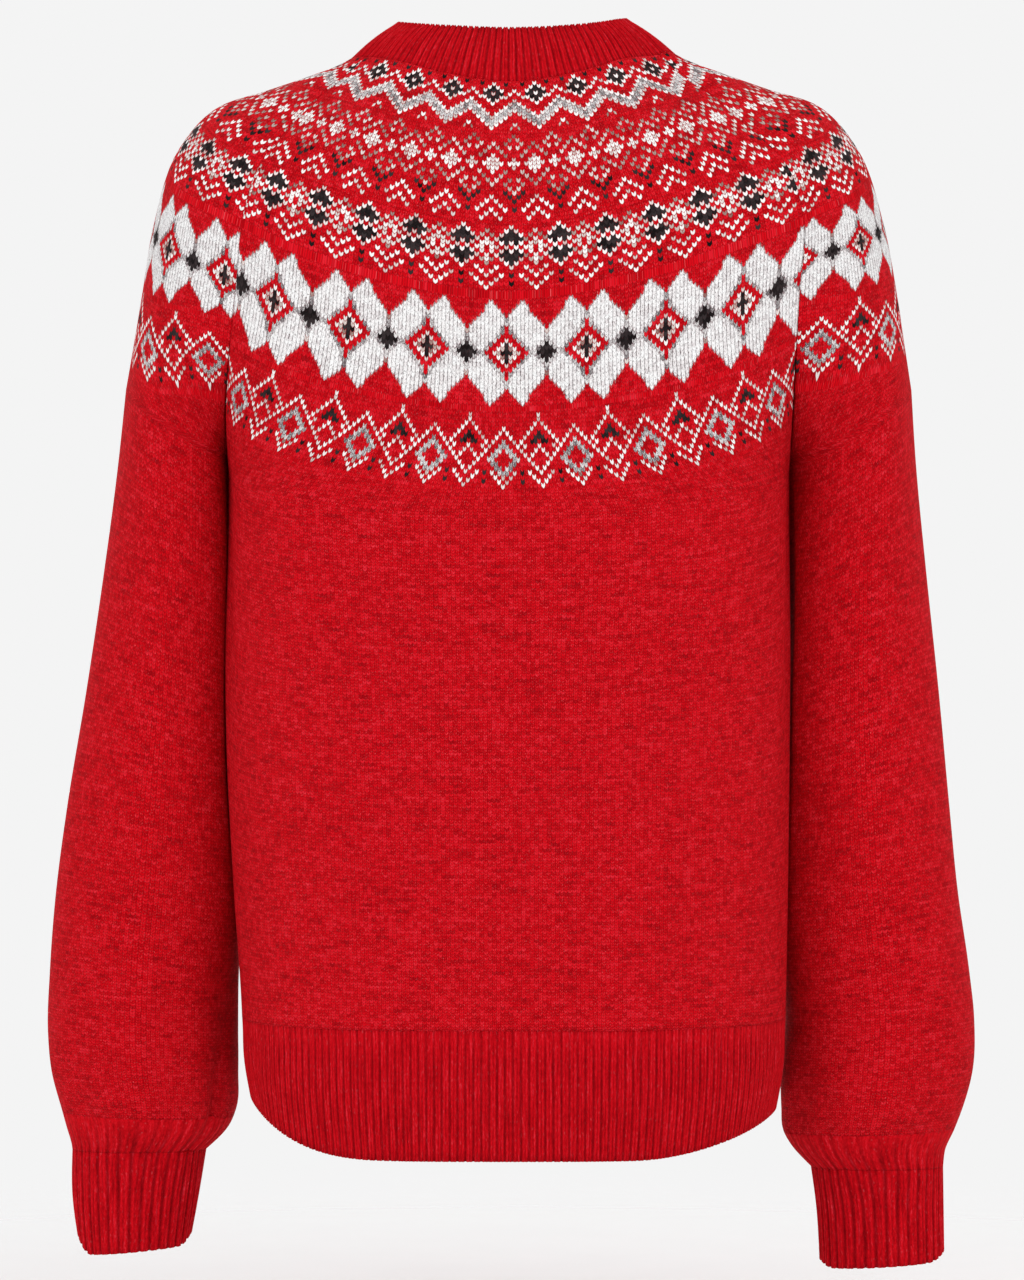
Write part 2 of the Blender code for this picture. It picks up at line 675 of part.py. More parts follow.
def build_collar(edge, out):
    """Ribbed collar that stands on the neck's edge and leans in to its top edge."""
    names = list(COLLAR_TOP)
    tops = np.array([COLLAR_TOP[name] for name in names], float)
    bases = np.array([line_points(name, 1, 0)[0] for name in names])
    angles = np.arctan2(bases[:, 0], bases[:, 1] + 10)
    order = np.argsort(angles)
    keys, tops = angles[order], tops[order]
    keys = np.concatenate([-keys[::-1][:-1], keys])
    mirrored = tops[::-1][:-1] * np.array([-RIGHT_COLLAR, 1, 1])
    tops = np.vstack([mirrored, tops])
    left = keys > 0
    tops[left, 2] -= LEFT_COLLAR_DROP * np.clip((tops[left, 2] - 24) / 8, 0, 1)
    base = edge
    rest = out
    top = smooth(keys, tops, np.arctan2(base[:, 0], base[:, 1] + 10))
    near = np.linspace(0, 1, len(base))
    for end, grow in ((0, 1 - near), (-1, near)):
        top[:, 0] += (base[end, 0] - top[end, 0]) * np.clip(grow * 30 - 29, 0, 1)
    rows = []
    for share in (0, 0.5, 1):
        row = base * (1 - share) + top * share
        row = row + unit(rest) * COLLAR_BOW * np.sin(np.pi * share)
        rows.append(row)
    grid = np.array(rows)
    outward = check_facing(grid, grid_normals(grid), np.array([0, -8, -60]))
    outward[0] = unit(rest)
    grid = pull_in(grid, ("top", "start", "end"))
    outer, inner = ribbed(grid, outward)
    return wall("collar", outer, inner, DARK_RED), grid


def centre_path(collar_grid):
    """Depth and height of the centre front line from the collar's top to the hem's bottom."""
    rows = [body_row(FRONT_LINES, 1, level, [1.0])[0] for level in BODY_LEVELS]
    collar_side = 0.5 * (collar_grid[:, 0] + collar_grid[:, -1])
    seam = rows[0]
    above = []
    for k in (2, 1):
        shift = collar_side[k] - collar_side[0]
        above.append(seam + np.array([0, shift[1], shift[2]]))
    below = []
    for share in (0.5, 1):
        height = HEM_SEAM + (HEM_BOTTOM - HEM_SEAM) * share
        front = sections(TORSO, [height])[0][3]
        below.append(np.array([0, -front, height]))
    return np.array(above + rows + below)


def band_grid(path, offsets, lifts):
    """A strip that follows the centre front path, with a lift out of the cloth for each column."""
    down = np.gradient(path, axis=0)
    out = unit(np.stack([0 * down[:, 0], down[:, 2], -down[:, 1]], axis=1))
    columns = []
    for x, lift in zip(offsets, lifts):
        curve = x * x / 520
        column = path + out * lift
        column[:, 0] = x
        column[:, 1] += curve
        columns.append(column)
    return np.stack(columns, axis=1), np.repeat(out[:, None], len(offsets), axis=1)


def build_bands(path):
    """The lower band of the left front and the upper band of the right front, over each other."""
    low_x = np.array([BAND_HALF - GAP, 0, -BAND_HALF])
    grid, out = band_grid(path, low_x, (0, 0, 0))
    wall("band_left", grid, grid - out * WALL, DARK_RED)
    high = WALL + 2 * GAP
    start = -(BAND_HALF + BAND_RAMP - GAP)
    high_x = np.array([start, -BAND_HALF - 1.2, 0, BAND_HALF])
    grid, out = band_grid(path, high_x, (0, high, high, high))
    wall("band_right", grid, grid - out * WALL, DARK_RED)
    return high


def build_button(name, point, outward):
    """Round button with a raised rim, lying on the upper band."""
    radius, tall = BUTTON_RADIUS, BUTTON_HEIGHT
    profile = (
        (0, 0), (radius * 0.80, 0), (radius, tall * 0.35), (radius, tall * 0.70),
        (radius * 0.88, tall), (radius * 0.72, tall * 0.72), (0, tall * 0.66),
    )
    sides = 18
    across = np.array([1.0, 0, 0])
    up = unit(np.cross(outward, across))
    points, faces, rings = [], [], []
    for r, h in profile:
        if r == 0:
            rings.append([len(points)] * sides)
            points.append(point + outward * h)
            continue
        ring = []
        for k in range(sides):
            angle = 2 * np.pi * k / sides
            ring.append(len(points))
            turn = across * np.cos(angle) + up * np.sin(angle)
            points.append(point + outward * h + turn * r)
        rings.append(ring)
    for low, high in zip(rings[:-1], rings[1:]):
        for k in range(sides):
            n = (k + 1) % sides
            face = [low[k], low[n], high[n], high[k]]
            face = list(dict.fromkeys(face))
            faces.append(tuple(face))
    points = np.array(points)
    if turned_in(points, faces):
        faces = [face[::-1] for face in faces]
    return make_object(name, points, faces, BUTTON_COLOUR, 0.35)


def walk(path):
    """Distance from the start of a path at each of its points."""
    steps = np.linalg.norm(np.diff(path, axis=0), axis=1)
    return np.concatenate([[0], np.cumsum(steps)])


def build_buttons(path, lift):
    lengths = walk(path)
    down = unit(np.gradient(path, axis=0))
    places = np.linspace(16, lengths[-1] - 30, BUTTONS)
    for number, place in enumerate(places, 1):
        point = np.array([np.interp(place, lengths, path[:, k]) for k in range(3)])
        slope = np.array([np.interp(place, lengths, down[:, k]) for k in range(3)])
        outward = unit(np.array([0, slope[2], -slope[1]]))
        point = point + outward * (lift + 0.3)
        build_button(f"button_{number}", point, outward)


def main():
    for old in list(bpy.data.objects):
        bpy.data.objects.remove(old, do_unlink=True)

    grids, normals = build_body()
    middle = np.array([0, 0, -200.0])
    for name in ("back", "front_left", "front_right"):
        normals[name] = check_facing(grids[name], normals[name], middle)
    for side, name in ((1, "sleeve_left"), (-1, "sleeve_right")):
        grids[name] = build_sleeve(side)
        found = grid_normals(grids[name], YOKE_ROWS)
        lower = grids[name][YOKE_ROWS + 4:]
        axis = lower[:, :-1].mean(axis=1, keepdims=True)
        if ((lower - axis) * found[YOKE_ROWS + 4:]).sum() < 0:
            found = -found
        normals[name] = found

    # Raglan seams.
    rows = YOKE_ROWS + 1
    seams = (
        ("back", 0, "sleeve_left", 0), ("back", -1, "sleeve_right", 0),
        ("front_left", 0, "sleeve_left", -1), ("front_right", 0, "sleeve_right", -1),
    )
    for body, column, sleeve, other in seams:
        inside = 1 if column == 0 else -2
        toward = grids[body][:rows, column] - grids[body][:rows, inside]
        one = normals[body][:rows, column]
        two = normals[sleeve][:rows, other]
        one, two = share_normals(one, two, unit(toward))
        normals[body][:rows, column] = one
        normals[sleeve][:rows - 1, other] = two[:-1]
    # Side seams.
    for body, column in (("front_left", 0), ("front_right", -1)):
        mean = unit(normals["back"][rows - 1:, column] + normals[body][rows - 1:, 0])
        normals["back"][rows - 1:, column] = mean
        normals[body][rows - 1:, 0] = mean

    for name in ("back", "front_left", "front_right", "sleeve_left", "sleeve_right"):
        normals[name][-1] = level_normals(normals[name][-1])

    neck, neck_out = neck_edge(grids, normals)
    _, collar_grid = build_collar(neck, neck_out)
    path = centre_path(collar_grid)

    sides = {
        "back": ("top", "bottom", "start", "end"),
        "front_left": ("top", "bottom", "start", "end"),
        "front_right": ("top", "bottom", "start", "end"),
        "sleeve_left": ("top", "bottom"),
        "sleeve_right": ("top", "bottom"),
    }
    edges = {name: (grids[name][-1].copy(), normals[name][-1].copy()) for name in sides}
    for name, pulled in sides.items():
        grid = pull_in(grids[name], pulled)
        wrap = None
        if name.startswith("sleeve"):
            wrap = YOKE_ROWS
            open_rows = slice(0, YOKE_ROWS)
            whole = grids[name]
            grid[open_rows, 0] += GAP * unit(whole[open_rows, 1] - whole[open_rows, 0])
            grid[open_rows, -1] += GAP * unit(whole[open_rows, -2] - whole[open_rows, -1])
        inner = grid - normals[name] * WALL
        wall(name, grid, inner, RED, wrap_from=wrap)

    hem_piece("hem_back", *edges["back"])
    hem_piece("hem_front_left", *edges["front_left"])
    hem_piece("hem_front_right", *edges["front_right"])
    build_cuff("cuff_left", 1)
    build_cuff("cuff_right", -1)
    lift = build_bands(path)
    build_buttons(path, lift)


main()
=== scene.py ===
import math

import bpy
import numpy as np
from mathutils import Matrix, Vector


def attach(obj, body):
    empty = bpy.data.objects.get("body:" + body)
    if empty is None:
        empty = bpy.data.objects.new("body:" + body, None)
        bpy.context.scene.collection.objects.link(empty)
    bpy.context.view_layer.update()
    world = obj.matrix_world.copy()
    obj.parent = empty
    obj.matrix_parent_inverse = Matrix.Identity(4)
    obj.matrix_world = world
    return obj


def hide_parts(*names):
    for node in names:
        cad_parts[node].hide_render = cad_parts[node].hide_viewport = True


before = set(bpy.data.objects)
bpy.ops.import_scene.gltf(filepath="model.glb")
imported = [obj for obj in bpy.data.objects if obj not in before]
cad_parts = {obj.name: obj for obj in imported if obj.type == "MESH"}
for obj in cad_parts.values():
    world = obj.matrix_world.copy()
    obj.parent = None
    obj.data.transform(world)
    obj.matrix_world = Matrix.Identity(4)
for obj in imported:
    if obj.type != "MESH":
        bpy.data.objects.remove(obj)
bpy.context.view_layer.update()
mm = 0.001


# Colours and small helpers

def linearColour(hexText):
    # sRGB hex to linear
    values = [int(hexText[k:k + 2], 16) / 255 for k in (0, 2, 4)]
    linear = [v / 12.92 if v <= 0.04045 else ((v + 0.055) / 1.055) ** 2.4 for v in values]
    return (*linear, 1.0)


def addNode(tree, kind, links=None, **settings):
    # One shader node: settings by name, links as {input: value, socket, or node for its first output}
    node = tree.nodes.new("ShaderNode" + kind)
    for name, value in settings.items():
        setattr(node, name, value)
    for place, value in (links or {}).items():
        if isinstance(value, bpy.types.Node):
            value = value.outputs[0]
        if isinstance(value, bpy.types.NodeSocket):
            tree.links.new(value, node.inputs[place])
        else:
            node.inputs[place].default_value = value
    return node


def emptyMaterial(name):
    material = bpy.data.materials.new(name)
    material.use_nodes = True
    material.node_tree.nodes.clear()
    return material, material.node_tree


def easeInOut(x):
    x = np.clip(x, 0, 1)
    return x * x * (3 - 2 * x)


def unitVectors(v):
    return v / np.maximum(np.linalg.norm(v, axis=-1, keepdims=True), 1e-9)


def walkLengths(path):
    # distance walked along a path at each of its points
    return np.concatenate([[0], np.cumsum(np.linalg.norm(np.diff(path, axis=0), axis=1))])


def readPath(at, knots, points):
    return np.stack([np.interp(at, knots, points[:, k]) for k in range(3)], axis=-1)


# The garment's form, in millimetres: the same named lines and sections as its solids

yokeLevels = (0, 20, 45, 75, 110, 150, 195, 225, 250)  # distance from the neck seam down the cloth
underarm = yokeLevels[-1]
sideY = -3.0
yokeLines = {
    "centreBack": (
        (0, 66, -9.5), (0, 77, -26), (0, 89, -48), (0, 98, -76.5), (0, 104, -111),
        (0, 107.5, -151), (0, 109, -196), (0, 109, -226), (0, 109, -251),
    ),
    "midBack": (
        (38, 60, -8.5), (44, 71, -24.5), (52, 83, -45.5), (60, 92, -72.5), (66, 99, -107),
        (70, 103.5, -147), (72, 106, -193), (74, 106.5, -224), (76, 106.5, -249),
    ),
    "blade": (
        (73, 44, -6), (84, 56, -20.5), (97, 69, -39), (110, 80, -65), (119, 88, -99),
        (123, 92.5, -139), (128, 92, -184), (131, 89, -214), (134, 83, -241),
    ),
    "backSeam": (
        (93, 22, -1), (105, 36, -13), (121, 51, -31), (138, 64, -54), (148, 73, -86),
        (152, 75, -125), (157, 63, -168), (159.5, 40, -198), (160, sideY, -222),
    ),
    "armBackInner": (
        (95, 16, 3), (109.5, 28, -7.5), (128, 41, -23), (150, 54, -44), (164, 63, -74),
        (171, 66.5, -112), (177, 65, -155), (175, 58, -186), (168, 38, -217),
    ),
    "armBack": (
        (96, 9, 6), (113.5, 17, -2.5), (135, 27, -15), (161, 36, -32), (179, 45, -61),
        (190, 48, -98), (197, 49, -141), (200, 48.5, -171), (201, 47, -196),
    ),
    "armOuter": (
        (96, 0, 8), (114.6, 0, 0.8), (138, -1, -7), (167, -2, -17), (189.5, -3, -42),
        (202, -4, -80), (209.5, -5, -124), (214.5, -5, -154), (219, -5, -178),
    ),
    "armFront": (
        (94, -12, 5.5), (112.5, -19, -1), (134, -28, -12), (159, -39, -28), (177, -50, -57),
        (188, -54, -94), (196, -56, -138), (199, -56, -168), (201, -55, -196),
    ),
    "armFrontInner": (
        (91, -24, 1.5), (107, -35, -6), (126, -48, -18), (147, -61, -39), (162, -71, -70),
        (170, -74.5, -108), (175, -72, -152), (174, -64, -184), (168, -44, -217),
    ),
    "frontSeam": (
        (86, -36, -4), (100, -49, -13), (117, -63, -28), (134, -76, -51), (145, -84, -83),
        (151, -85, -122), (156, -72, -166), (159, -48, -197), (160, sideY, -222),
    ),
    "frontSide": (
        (72, -56, -16), (83, -69, -28), (96, -81, -46), (109, -92, -72), (118, -99, -106),
        (123, -103, -146), (128, -101, -190), (131, -97, -219), (134, -91, -243),
    ),
    "midFront": (
        (42, -76, -33), (48, -87, -47), (55, -97, -68), (61, -105, -95), (66, -111, -130),
        (70, -115, -169), (73, -117, -212), (75, -117.5, -240), (77, -117.5, -262),
    ),
    "centreFront": (
        (0, -88, -45), (0, -99, -60), (0, -108, -82), (0, -114.5, -109), (0, -118.5, -143),
        (0, -120.5, -181), (0, -121, -223), (0, -121, -249), (0, -121, -270),
    ),
}
rightOut = (4, 7, 9, 10, 10.5, 11, 12, 11.5, 11)  # the wearer's right shoulder stands out further
rightSeamOut = (5, 8, 11, 16, 16, 10, 3, 0, 0)
rightUp = (3, 2, 1, 1, 0, 0, 0, 0, 0)
rightCollar = 1.06
leftCollarDrop = 2.0   # the collar's corner at the left shoulder stands this much lower

# top edge of the collar for each line
collarTops = {
    "centreBack": (0, 48, 23),
    "midBack": (26, 44, 24.5),
    "blade": (48, 33, 28),
    "backSeam": (60, 16, 32),
    "armBackInner": (62.5, 10, 33),
    "armBack": (63.5, 4, 33.5),
    "armOuter": (64, -3, 33),
    "armFront": (63, -12, 31),
    "armFrontInner": (61, -21, 28),
    "frontSeam": (58, -31, 23),
    "frontSide": (47, -48, 9),
    "midFront": (26, -61, -8),
    "centreFront": (0, -66, -15),
}
# the neck's seam lies this far above a line's first point on the left and right side
neckRise = {
    "midBack": (6, 6),
    "blade": (15.5, 17),
    "backSeam": (17, 19),
    "armBackInner": (13, 13),
    "armBack": (9, 8),
    "armOuter": (6.5, 5),
    "armFront": (6, 5),
    "armFrontInner": (6, 6),
    "frontSeam": (6, 6),
    "frontSide": (3, 3),
}
riseFrom = 150

# height, half width left and right, depth of back and front
torsoSections = (
    (-222, 160, 160, 109, 121),
    (-300, 162, 161, 107.5, 119),
    (-380, 161.5, 160.5, 105, 115),
    (-460, 157.5, 159.5, 104, 112),
    (-536, 152.5, 158, 105, 112),
    (-575, 151.5, 157, 105, 111),
    (-608, 148, 153, 102, 108),
)
torsoSquare = 2.6

# height, outer and inner edge, half depth, centre in depth
armLeft = (
    (-178, 219.0, 160.5, 52, -4), (-212, 223.0, 160.0, 53, -9), (-281, 233.0, 156.5, 54, -22),
    (-350, 244.0, 155.0, 54, -31), (-419, 256.0, 153.5, 54, -38), (-466, 262.5, 153.5, 54, -42),
    (-513, 266.4, 157.0, 54, -45), (-548, 267.7, 157.5, 53, -47), (-572, 265.5, 157.5, 51, -48),
    (-594, 259.7, 158.8, 46, -49), (-606, 256.5, 164.6, 38, -49), (-613, 254.5, 171.5, 31, -49),
    (-617, 254.0, 176.0, 27, -49),
)
armRight = (
    (-178, 230.0, 160.5, 52, -4), (-212, 232.5, 160.0, 53, -9), (-281, 240.0, 156.5, 54, -22),
    (-350, 248.0, 155.0, 54, -31), (-419, 255.0, 154.0, 54, -38), (-466, 260.0, 155.0, 54, -42),
    (-513, 267.0, 158.5, 54, -45), (-540, 270.0, 160.5, 53, -47), (-572, 269.0, 158.0, 51, -48),
    (-594, 262.9, 158.5, 49, -49), (-606, 258.3, 159.4, 43, -49), (-617, 253.5, 165.9, 35, -49),
    (-623, 252.8, 171.5, 30, -49), (-627, 252.5, 175.5, 27, -49),
)
armSquare = 2.25
# around (0 outer, 0.25 back), height, half width around, half height, depth
armFoldsLeft = (
    (0.30, -592, 0.045, 46, 3.5), (0.14, -588, 0.035, 30, 2.0), (0.42, -560, 0.050, 60, 3.0),
    (0.20, -300, 0.060, 60, 1.5), (0.70, -585, 0.045, 40, 3.0), (0.84, -590, 0.035, 30, 2.0),
)
armFoldsRight = (
    (0.36, -416, 0.060, 16, 2.5), (0.26, -522, 0.060, 14, 2.2), (0.40, -586, 0.045, 34, 3.0),
    (0.16, -592, 0.035, 26, 2.0), (0.70, -585, 0.045, 40, 3.0), (0.86, -590, 0.035, 30, 2.0),
)
hemSeam, hemBottom = -536.0, -608.0
bodyLines = ("backSeam", "blade", "midBack", "centreBack")
frontLines = ("frontSeam", "frontSide", "midFront", "centreFront")
armLines = (
    "backSeam", "armBackInner", "armBack", "armOuter", "armFront", "armFrontInner", "frontSeam",
)
bodyLength = 314.0   # from underarm to hem seam
tubeLength = 395.0   # from underarm to cuff


def slopesAt(knots, values):
    steps = np.diff(knots)
    rises = np.diff(values, axis=0) / steps[:, None]
    inner = rises[:-1] * steps[1:, None] + rises[1:] * steps[:-1, None]
    inner = inner / (steps[:-1] + steps[1:])[:, None]
    return np.vstack([1.5 * rises[0] - 0.5 * inner[0], inner, 1.5 * rises[-1] - 0.5 * inner[-1]])


def smoothRead(knots, values, at, tangents=None):
    # Smooth curve through the values at rising knots, read at the places given
    knots = np.asarray(knots, float)
    values = np.asarray(values, float)
    at = np.clip(np.atleast_1d(np.asarray(at, float)), knots[0], knots[-1])
    if tangents is None:
        tangents = slopesAt(knots, values)
    k = np.clip(np.searchsorted(knots, at, side="right") - 1, 0, len(knots) - 2)
    width = (knots[k + 1] - knots[k])[:, None]
    t = ((at - knots[k]) / width[:, 0])[:, None]
    near = (1 + 2 * t) * (1 - t) ** 2 * values[k] + t * (1 - t) ** 2 * width * tangents[k]
    far = t ** 2 * (3 - 2 * t) * values[k + 1] - t ** 2 * (1 - t) * width * tangents[k + 1]
    return near + far


def readSections(table, heights):
    rows = np.array(sorted(table), float)
    return smoothRead(rows[:, 0], rows[:, 1:], heights)


def linePoints(name, side, distance):
    distance = np.atleast_1d(np.asarray(distance, float))
    rise = neckRise.get(name, (0, 0))[0 if side > 0 else 1]
    places = distance - rise * (1 - easeInOut((distance - riseFrom) / (underarm - riseFrom)))
    collar = np.linalg.norm(np.subtract(collarTops[name], yokeLines[name][0]))
    points = smoothRead((-collar, *yokeLevels), (collarTops[name], *yokeLines[name]), places)
    if side < 0:
        if name.startswith("arm"):
            points[:, 0] += smoothRead(yokeLevels, np.array(rightOut)[:, None], places)[:, 0]
            points[:, 2] += smoothRead(yokeLevels, np.array(rightUp)[:, None], places)[:, 0]
        if name in ("backSeam", "frontSeam", "blade", "frontSide"):
            part = 1 if name.endswith("Seam") else 0.5
            out = smoothRead(yokeLevels, np.array(rightSeamOut)[:, None], places)[:, 0]
            points[:, 0] += part * out
        points[:, 0] *= -1
    return points


def throughPoints(points, at, start=None, end=None):
    knots = walkLengths(points)
    tangents = slopesAt(knots, points)
    if start is not None:
        tangents[0] = start
    if end is not None:
        tangents[-1] = end
    dense = smoothRead(knots, points, np.linspace(0, knots[-1], 241), tangents)
    walked = walkLengths(dense)
    return readPath(np.asarray(at) * walked[-1], walked, dense)


def torsoPoint(side, share, height):
    left, right, back, front = readSections(torsoSections, height)[0]
    angle = (1 - share) * np.pi / 2
    c = np.abs(np.cos(angle)) ** (2 / torsoSquare)
    s = np.abs(np.sin(angle)) ** (2 / torsoSquare)
    deep = (back - sideY) * s if share < 1 else -(front + sideY) * s
    return np.array([side * (left if side > 0 else right) * c, sideY + deep, height])


def levelLine(lines, side, level):
    if level <= underarm:
        return np.array([linePoints(name, side, level)[0] for name in lines])
    last = np.array([linePoints(name, side, underarm)[0] for name in lines])
    share = (level - underarm) / bodyLength
    places = (1, 0.60, 0.32, 0) if lines is bodyLines else (1, 1.40, 1.68, 2)
    points = []
    for point, place in zip(last, places):
        height = point[2] + (hemSeam - point[2]) * share
        low = torsoPoint(side, place, height)
        blend = easeInOut((point[2] - height) / 120)
        points.append(np.array([point[0], point[1], height]) * (1 - blend) + low * blend)
    return np.array(points)


def joinDirection(side, level, bodyLine, seam, armLine):
    a, b, c = (linePoints(name, side, level)[0] for name in (bodyLine, seam, armLine))
    return unitVectors(unitVectors(b - a) + unitVectors(c - b))


def bodyRow(lines, side, level, shares):
    # From the raglan or side seam to the centre line
    points = levelLine(lines, side, level)
    back = lines is bodyLines
    if level <= underarm:
        names = ("blade", "backSeam", "armBackInner")
        if not back:
            names = ("frontSide", "frontSeam", "armFrontInner")
        shared = -joinDirection(side, level, *names)
        own = slopesAt(walkLengths(points), points)[0]
        loose = easeInOut((level - 110) / 90)
        start = shared * (1 - loose) + own * loose
        straight = easeInOut((level - 170) / 80)
        start = start * (1 - straight) + np.array([0, 1.0 if back else -1.0, -0.35]) * straight
    else:
        start = np.array([0, 1.0 if back else -1.0, 0])
    return throughPoints(points, shares, start, np.array([-side, 0, 0]))


def armFold(side, around, height):
    depth = 0
    for place, level, wide, tall, deep in armFoldsLeft if side > 0 else armFoldsRight:
        away = np.abs((around - place + 0.5) % 1 - 0.5) / wide
        depth = depth + deep * np.exp(-away ** 2 - ((height - level) / tall) ** 2)
    return depth


def tubeRow(side, share, around):
    # Closed section of a sleeve: around 0 is its inner line, 0.25 back, 0.5 outer
    table = armLeft if side > 0 else armRight
    rows = np.array(sorted(table, reverse=True), float)
    low = rows[-1, 0]
    outerHeight = rows[0, 0] + (low - rows[0, 0]) * share
    innerHeight = -222 + (low + 222) * share
    mid = 0.5 * (outerHeight + innerHeight)
    outer = readSections(table, outerHeight)[0][0]
    inner = readSections(table, innerHeight)[0][1]
    depth, centre = readSections(table, mid)[0][2:]
    angle = 2 * np.pi * around
    c, s = -np.cos(angle), np.sin(angle)
    c = np.sign(c) * np.abs(c) ** (2 / armSquare)
    s = np.sign(s) * np.abs(s) ** (2 / armSquare)
    x = 0.5 * (outer + inner) + 0.5 * (outer - inner) * c
    z = mid + 0.5 * (outerHeight - innerHeight) * c
    points = np.stack([x, centre + depth * s, z], axis=1)
    inward = np.array([0.5 * (outer + inner), centre, 0]) - points
    inward = unitVectors(inward * np.array([1, 1, 0]))
    points = points + inward * armFold(side, (0.5 - around) % 1, z)[:, None]
    # the sleeve stays clear of the body's side
    left, right, back, front = readSections(torsoSections, np.maximum(points[:, 2], -608)).T
    width = left if side > 0 else right
    deep = np.where(points[:, 1] > sideY, back - sideY, front + sideY)
    away = np.minimum(np.abs(points[:, 1] - sideY) / deep, 1)
    clear = np.interp(points[:, 2], (-420, -260), (1.2, 0.1))
    edge = width * (1 - away ** torsoSquare) ** (1 / torsoSquare) + clear
    low = points[:, 2] < -215
    points[:, 0] = np.where(low, np.maximum(points[:, 0], edge), points[:, 0])
    points[:, 0] *= side
    return points


def sleeveRow(side, level, shares):
    # From the back raglan seam round the arm to the front raglan seam
    points = np.array([linePoints(name, side, level)[0] for name in armLines])
    apart = 0.15 * easeInOut((level - 150) / 100)
    points[0, 0] += side * apart
    points[-1, 0] += side * apart
    first = joinDirection(side, level, "blade", "backSeam", "armBackInner")
    last = -joinDirection(side, level, "frontSide", "frontSeam", "armFrontInner")
    own = slopesAt(walkLengths(points), points)
    loose = easeInOut((level - 110) / 90)
    turn = easeInOut((level - 190) / 60)
    start = (first * (1 - loose) + own[0] * loose) * (1 - turn)
    end = (last * (1 - loose) + own[-1] * loose) * (1 - turn)
    start = start + np.array([side * 0.1, 1, 0.1]) * turn
    end = end + np.array([-side * 0.1, 1, -0.1]) * turn
    return throughPoints(points, shares, start, end)


def armRow(side, level, shares):
    # A sleeve row at any level: open above the underarm, closed below it
    if level < underarm:
        return sleeveRow(side, level, shares)
    way = (level - underarm) / tubeLength
    row = tubeRow(side, way + 0.07 * np.sin(np.pi * way), shares)
    fade = easeInOut(1 - 14 * way / 5)
    if fade > 0:
        shift = sleeveRow(side, underarm, shares) - tubeRow(side, 0, shares)
        row = row + shift * fade
    row[-1] = row[0]
    return row


# Surfaces: dense grids over (level down the cloth, place across it) that every piece is read from

def gridNormals(grid, closedFrom=None):
    down = np.gradient(grid, axis=0)
    across = np.gradient(grid, axis=1)
    if closedFrom is not None:
        ring = grid[closedFrom:, 1] - grid[closedFrom:, -2]
        across[closedFrom:, 0] = 0.5 * ring
        across[closedFrom:, -1] = 0.5 * ring
    return unitVectors(np.cross(across, down))


def makeSurface(levels, places, grid, middle, closedFrom=None):
    # middle: a point, or one for each row, that the cloth faces away from
    normals = gridNormals(grid, closedFrom)
    if ((grid - middle) * normals).sum() < 0:
        normals = -normals
    lengths = np.linalg.norm(np.diff(grid, axis=1), axis=2).sum(axis=1)
    return {
        "levels": levels, "places": places, "grid": grid, "normals": normals,
        "closedFrom": None if closedFrom is None else levels[closedFrom], "lengths": lengths,
    }


def readSurface(surface, places, levels):
    # Points and directions at (place, level), by straight interpolation in the dense grid
    i = np.interp(levels, surface["levels"], np.arange(len(surface["levels"])))
    j = np.interp(places, surface["places"], np.arange(len(surface["places"])))
    i0 = np.clip(i.astype(int), 0, len(surface["levels"]) - 2)
    j0 = np.clip(j.astype(int), 0, len(surface["places"]) - 2)
    a, b = (i - i0)[..., None], (j - j0)[..., None]
    found = []
    for grid in (surface["grid"], surface["normals"]):
        top = grid[i0, j0] * (1 - b) + grid[i0, j0 + 1] * b
        low = grid[i0 + 1, j0] * (1 - b) + grid[i0 + 1, j0 + 1] * b
        found.append(top * (1 - a) + low * a)
    return found[0], unitVectors(found[1])


def gridLevels(yokeRows, length, plainGrid):
    below = np.linspace(underarm, underarm + length, plainGrid)[1:]
    return np.concatenate([np.linspace(0, underarm, yokeRows), below])


yokeRows = 126           # rows of the dense grids down to the underarm
bodyLevels = gridLevels(yokeRows, bodyLength, 64)
armLevels = gridLevels(yokeRows, tubeLength, 100)
bandHalf, bandRamp = 14.0, 8.0   # half width of the lower band, and how much wider the upper one is


def makeSurfaces():
    surfaces = {}
    half = np.linspace(0, 1, 91)
    rows = [
        np.vstack([bodyRow(bodyLines, 1, level, half),
                   bodyRow(bodyLines, -1, level, half)[::-1][1:]])
        for level in bodyLevels
    ]
    places = np.linspace(-1, 1, 181)
    middle = np.array([0, 0, -200.0])
    surfaces["back"] = makeSurface(bodyLevels, places, np.array(rows), middle)
    edges = {1: bandHalf, -1: bandHalf + bandRamp}
    dense = np.linspace(0, 1, 401)
    for side, name in ((1, "front_left"), (-1, "front_right")):
        rows = []
        for level in bodyLevels:
            row = bodyRow(frontLines, side, level, dense)
            stop = np.interp(-edges[side], -side * row[:, 0], dense)
            rows.append(bodyRow(frontLines, side, level, np.linspace(0, stop, 101)))
        surfaces[name] = makeSurface(bodyLevels, np.linspace(0, 1, 101), np.array(rows), middle)
    for side, name in ((1, "sleeve_left"), (-1, "sleeve_right")):
        shares = np.linspace(0, 1, 201)
        grid = np.array([armRow(side, level, shares) for level in armLevels])
        axis = grid[:, :-1].mean(axis=1, keepdims=True)
        # above the underarm the sleeve faces up and out from the body
        axis[:yokeRows] = np.array([side * 120.0, 0, -200.0])
        surfaces[name] = makeSurface(armLevels, shares, grid, axis, yokeRows)
    return surfaces


surfaces = makeSurfaces()
print("surfaces ready")


# Knitting chart: . red, W white, B black, G grey marl, P pale marl, S brushed white,
# l and r pale marl on the left or right leg of a stitch only.
# Each band: where its first row starts below the neck seam, its row height, and its rows.
# Mirrored bands give half a repeat, from the middle of one motif to the middle of the next.

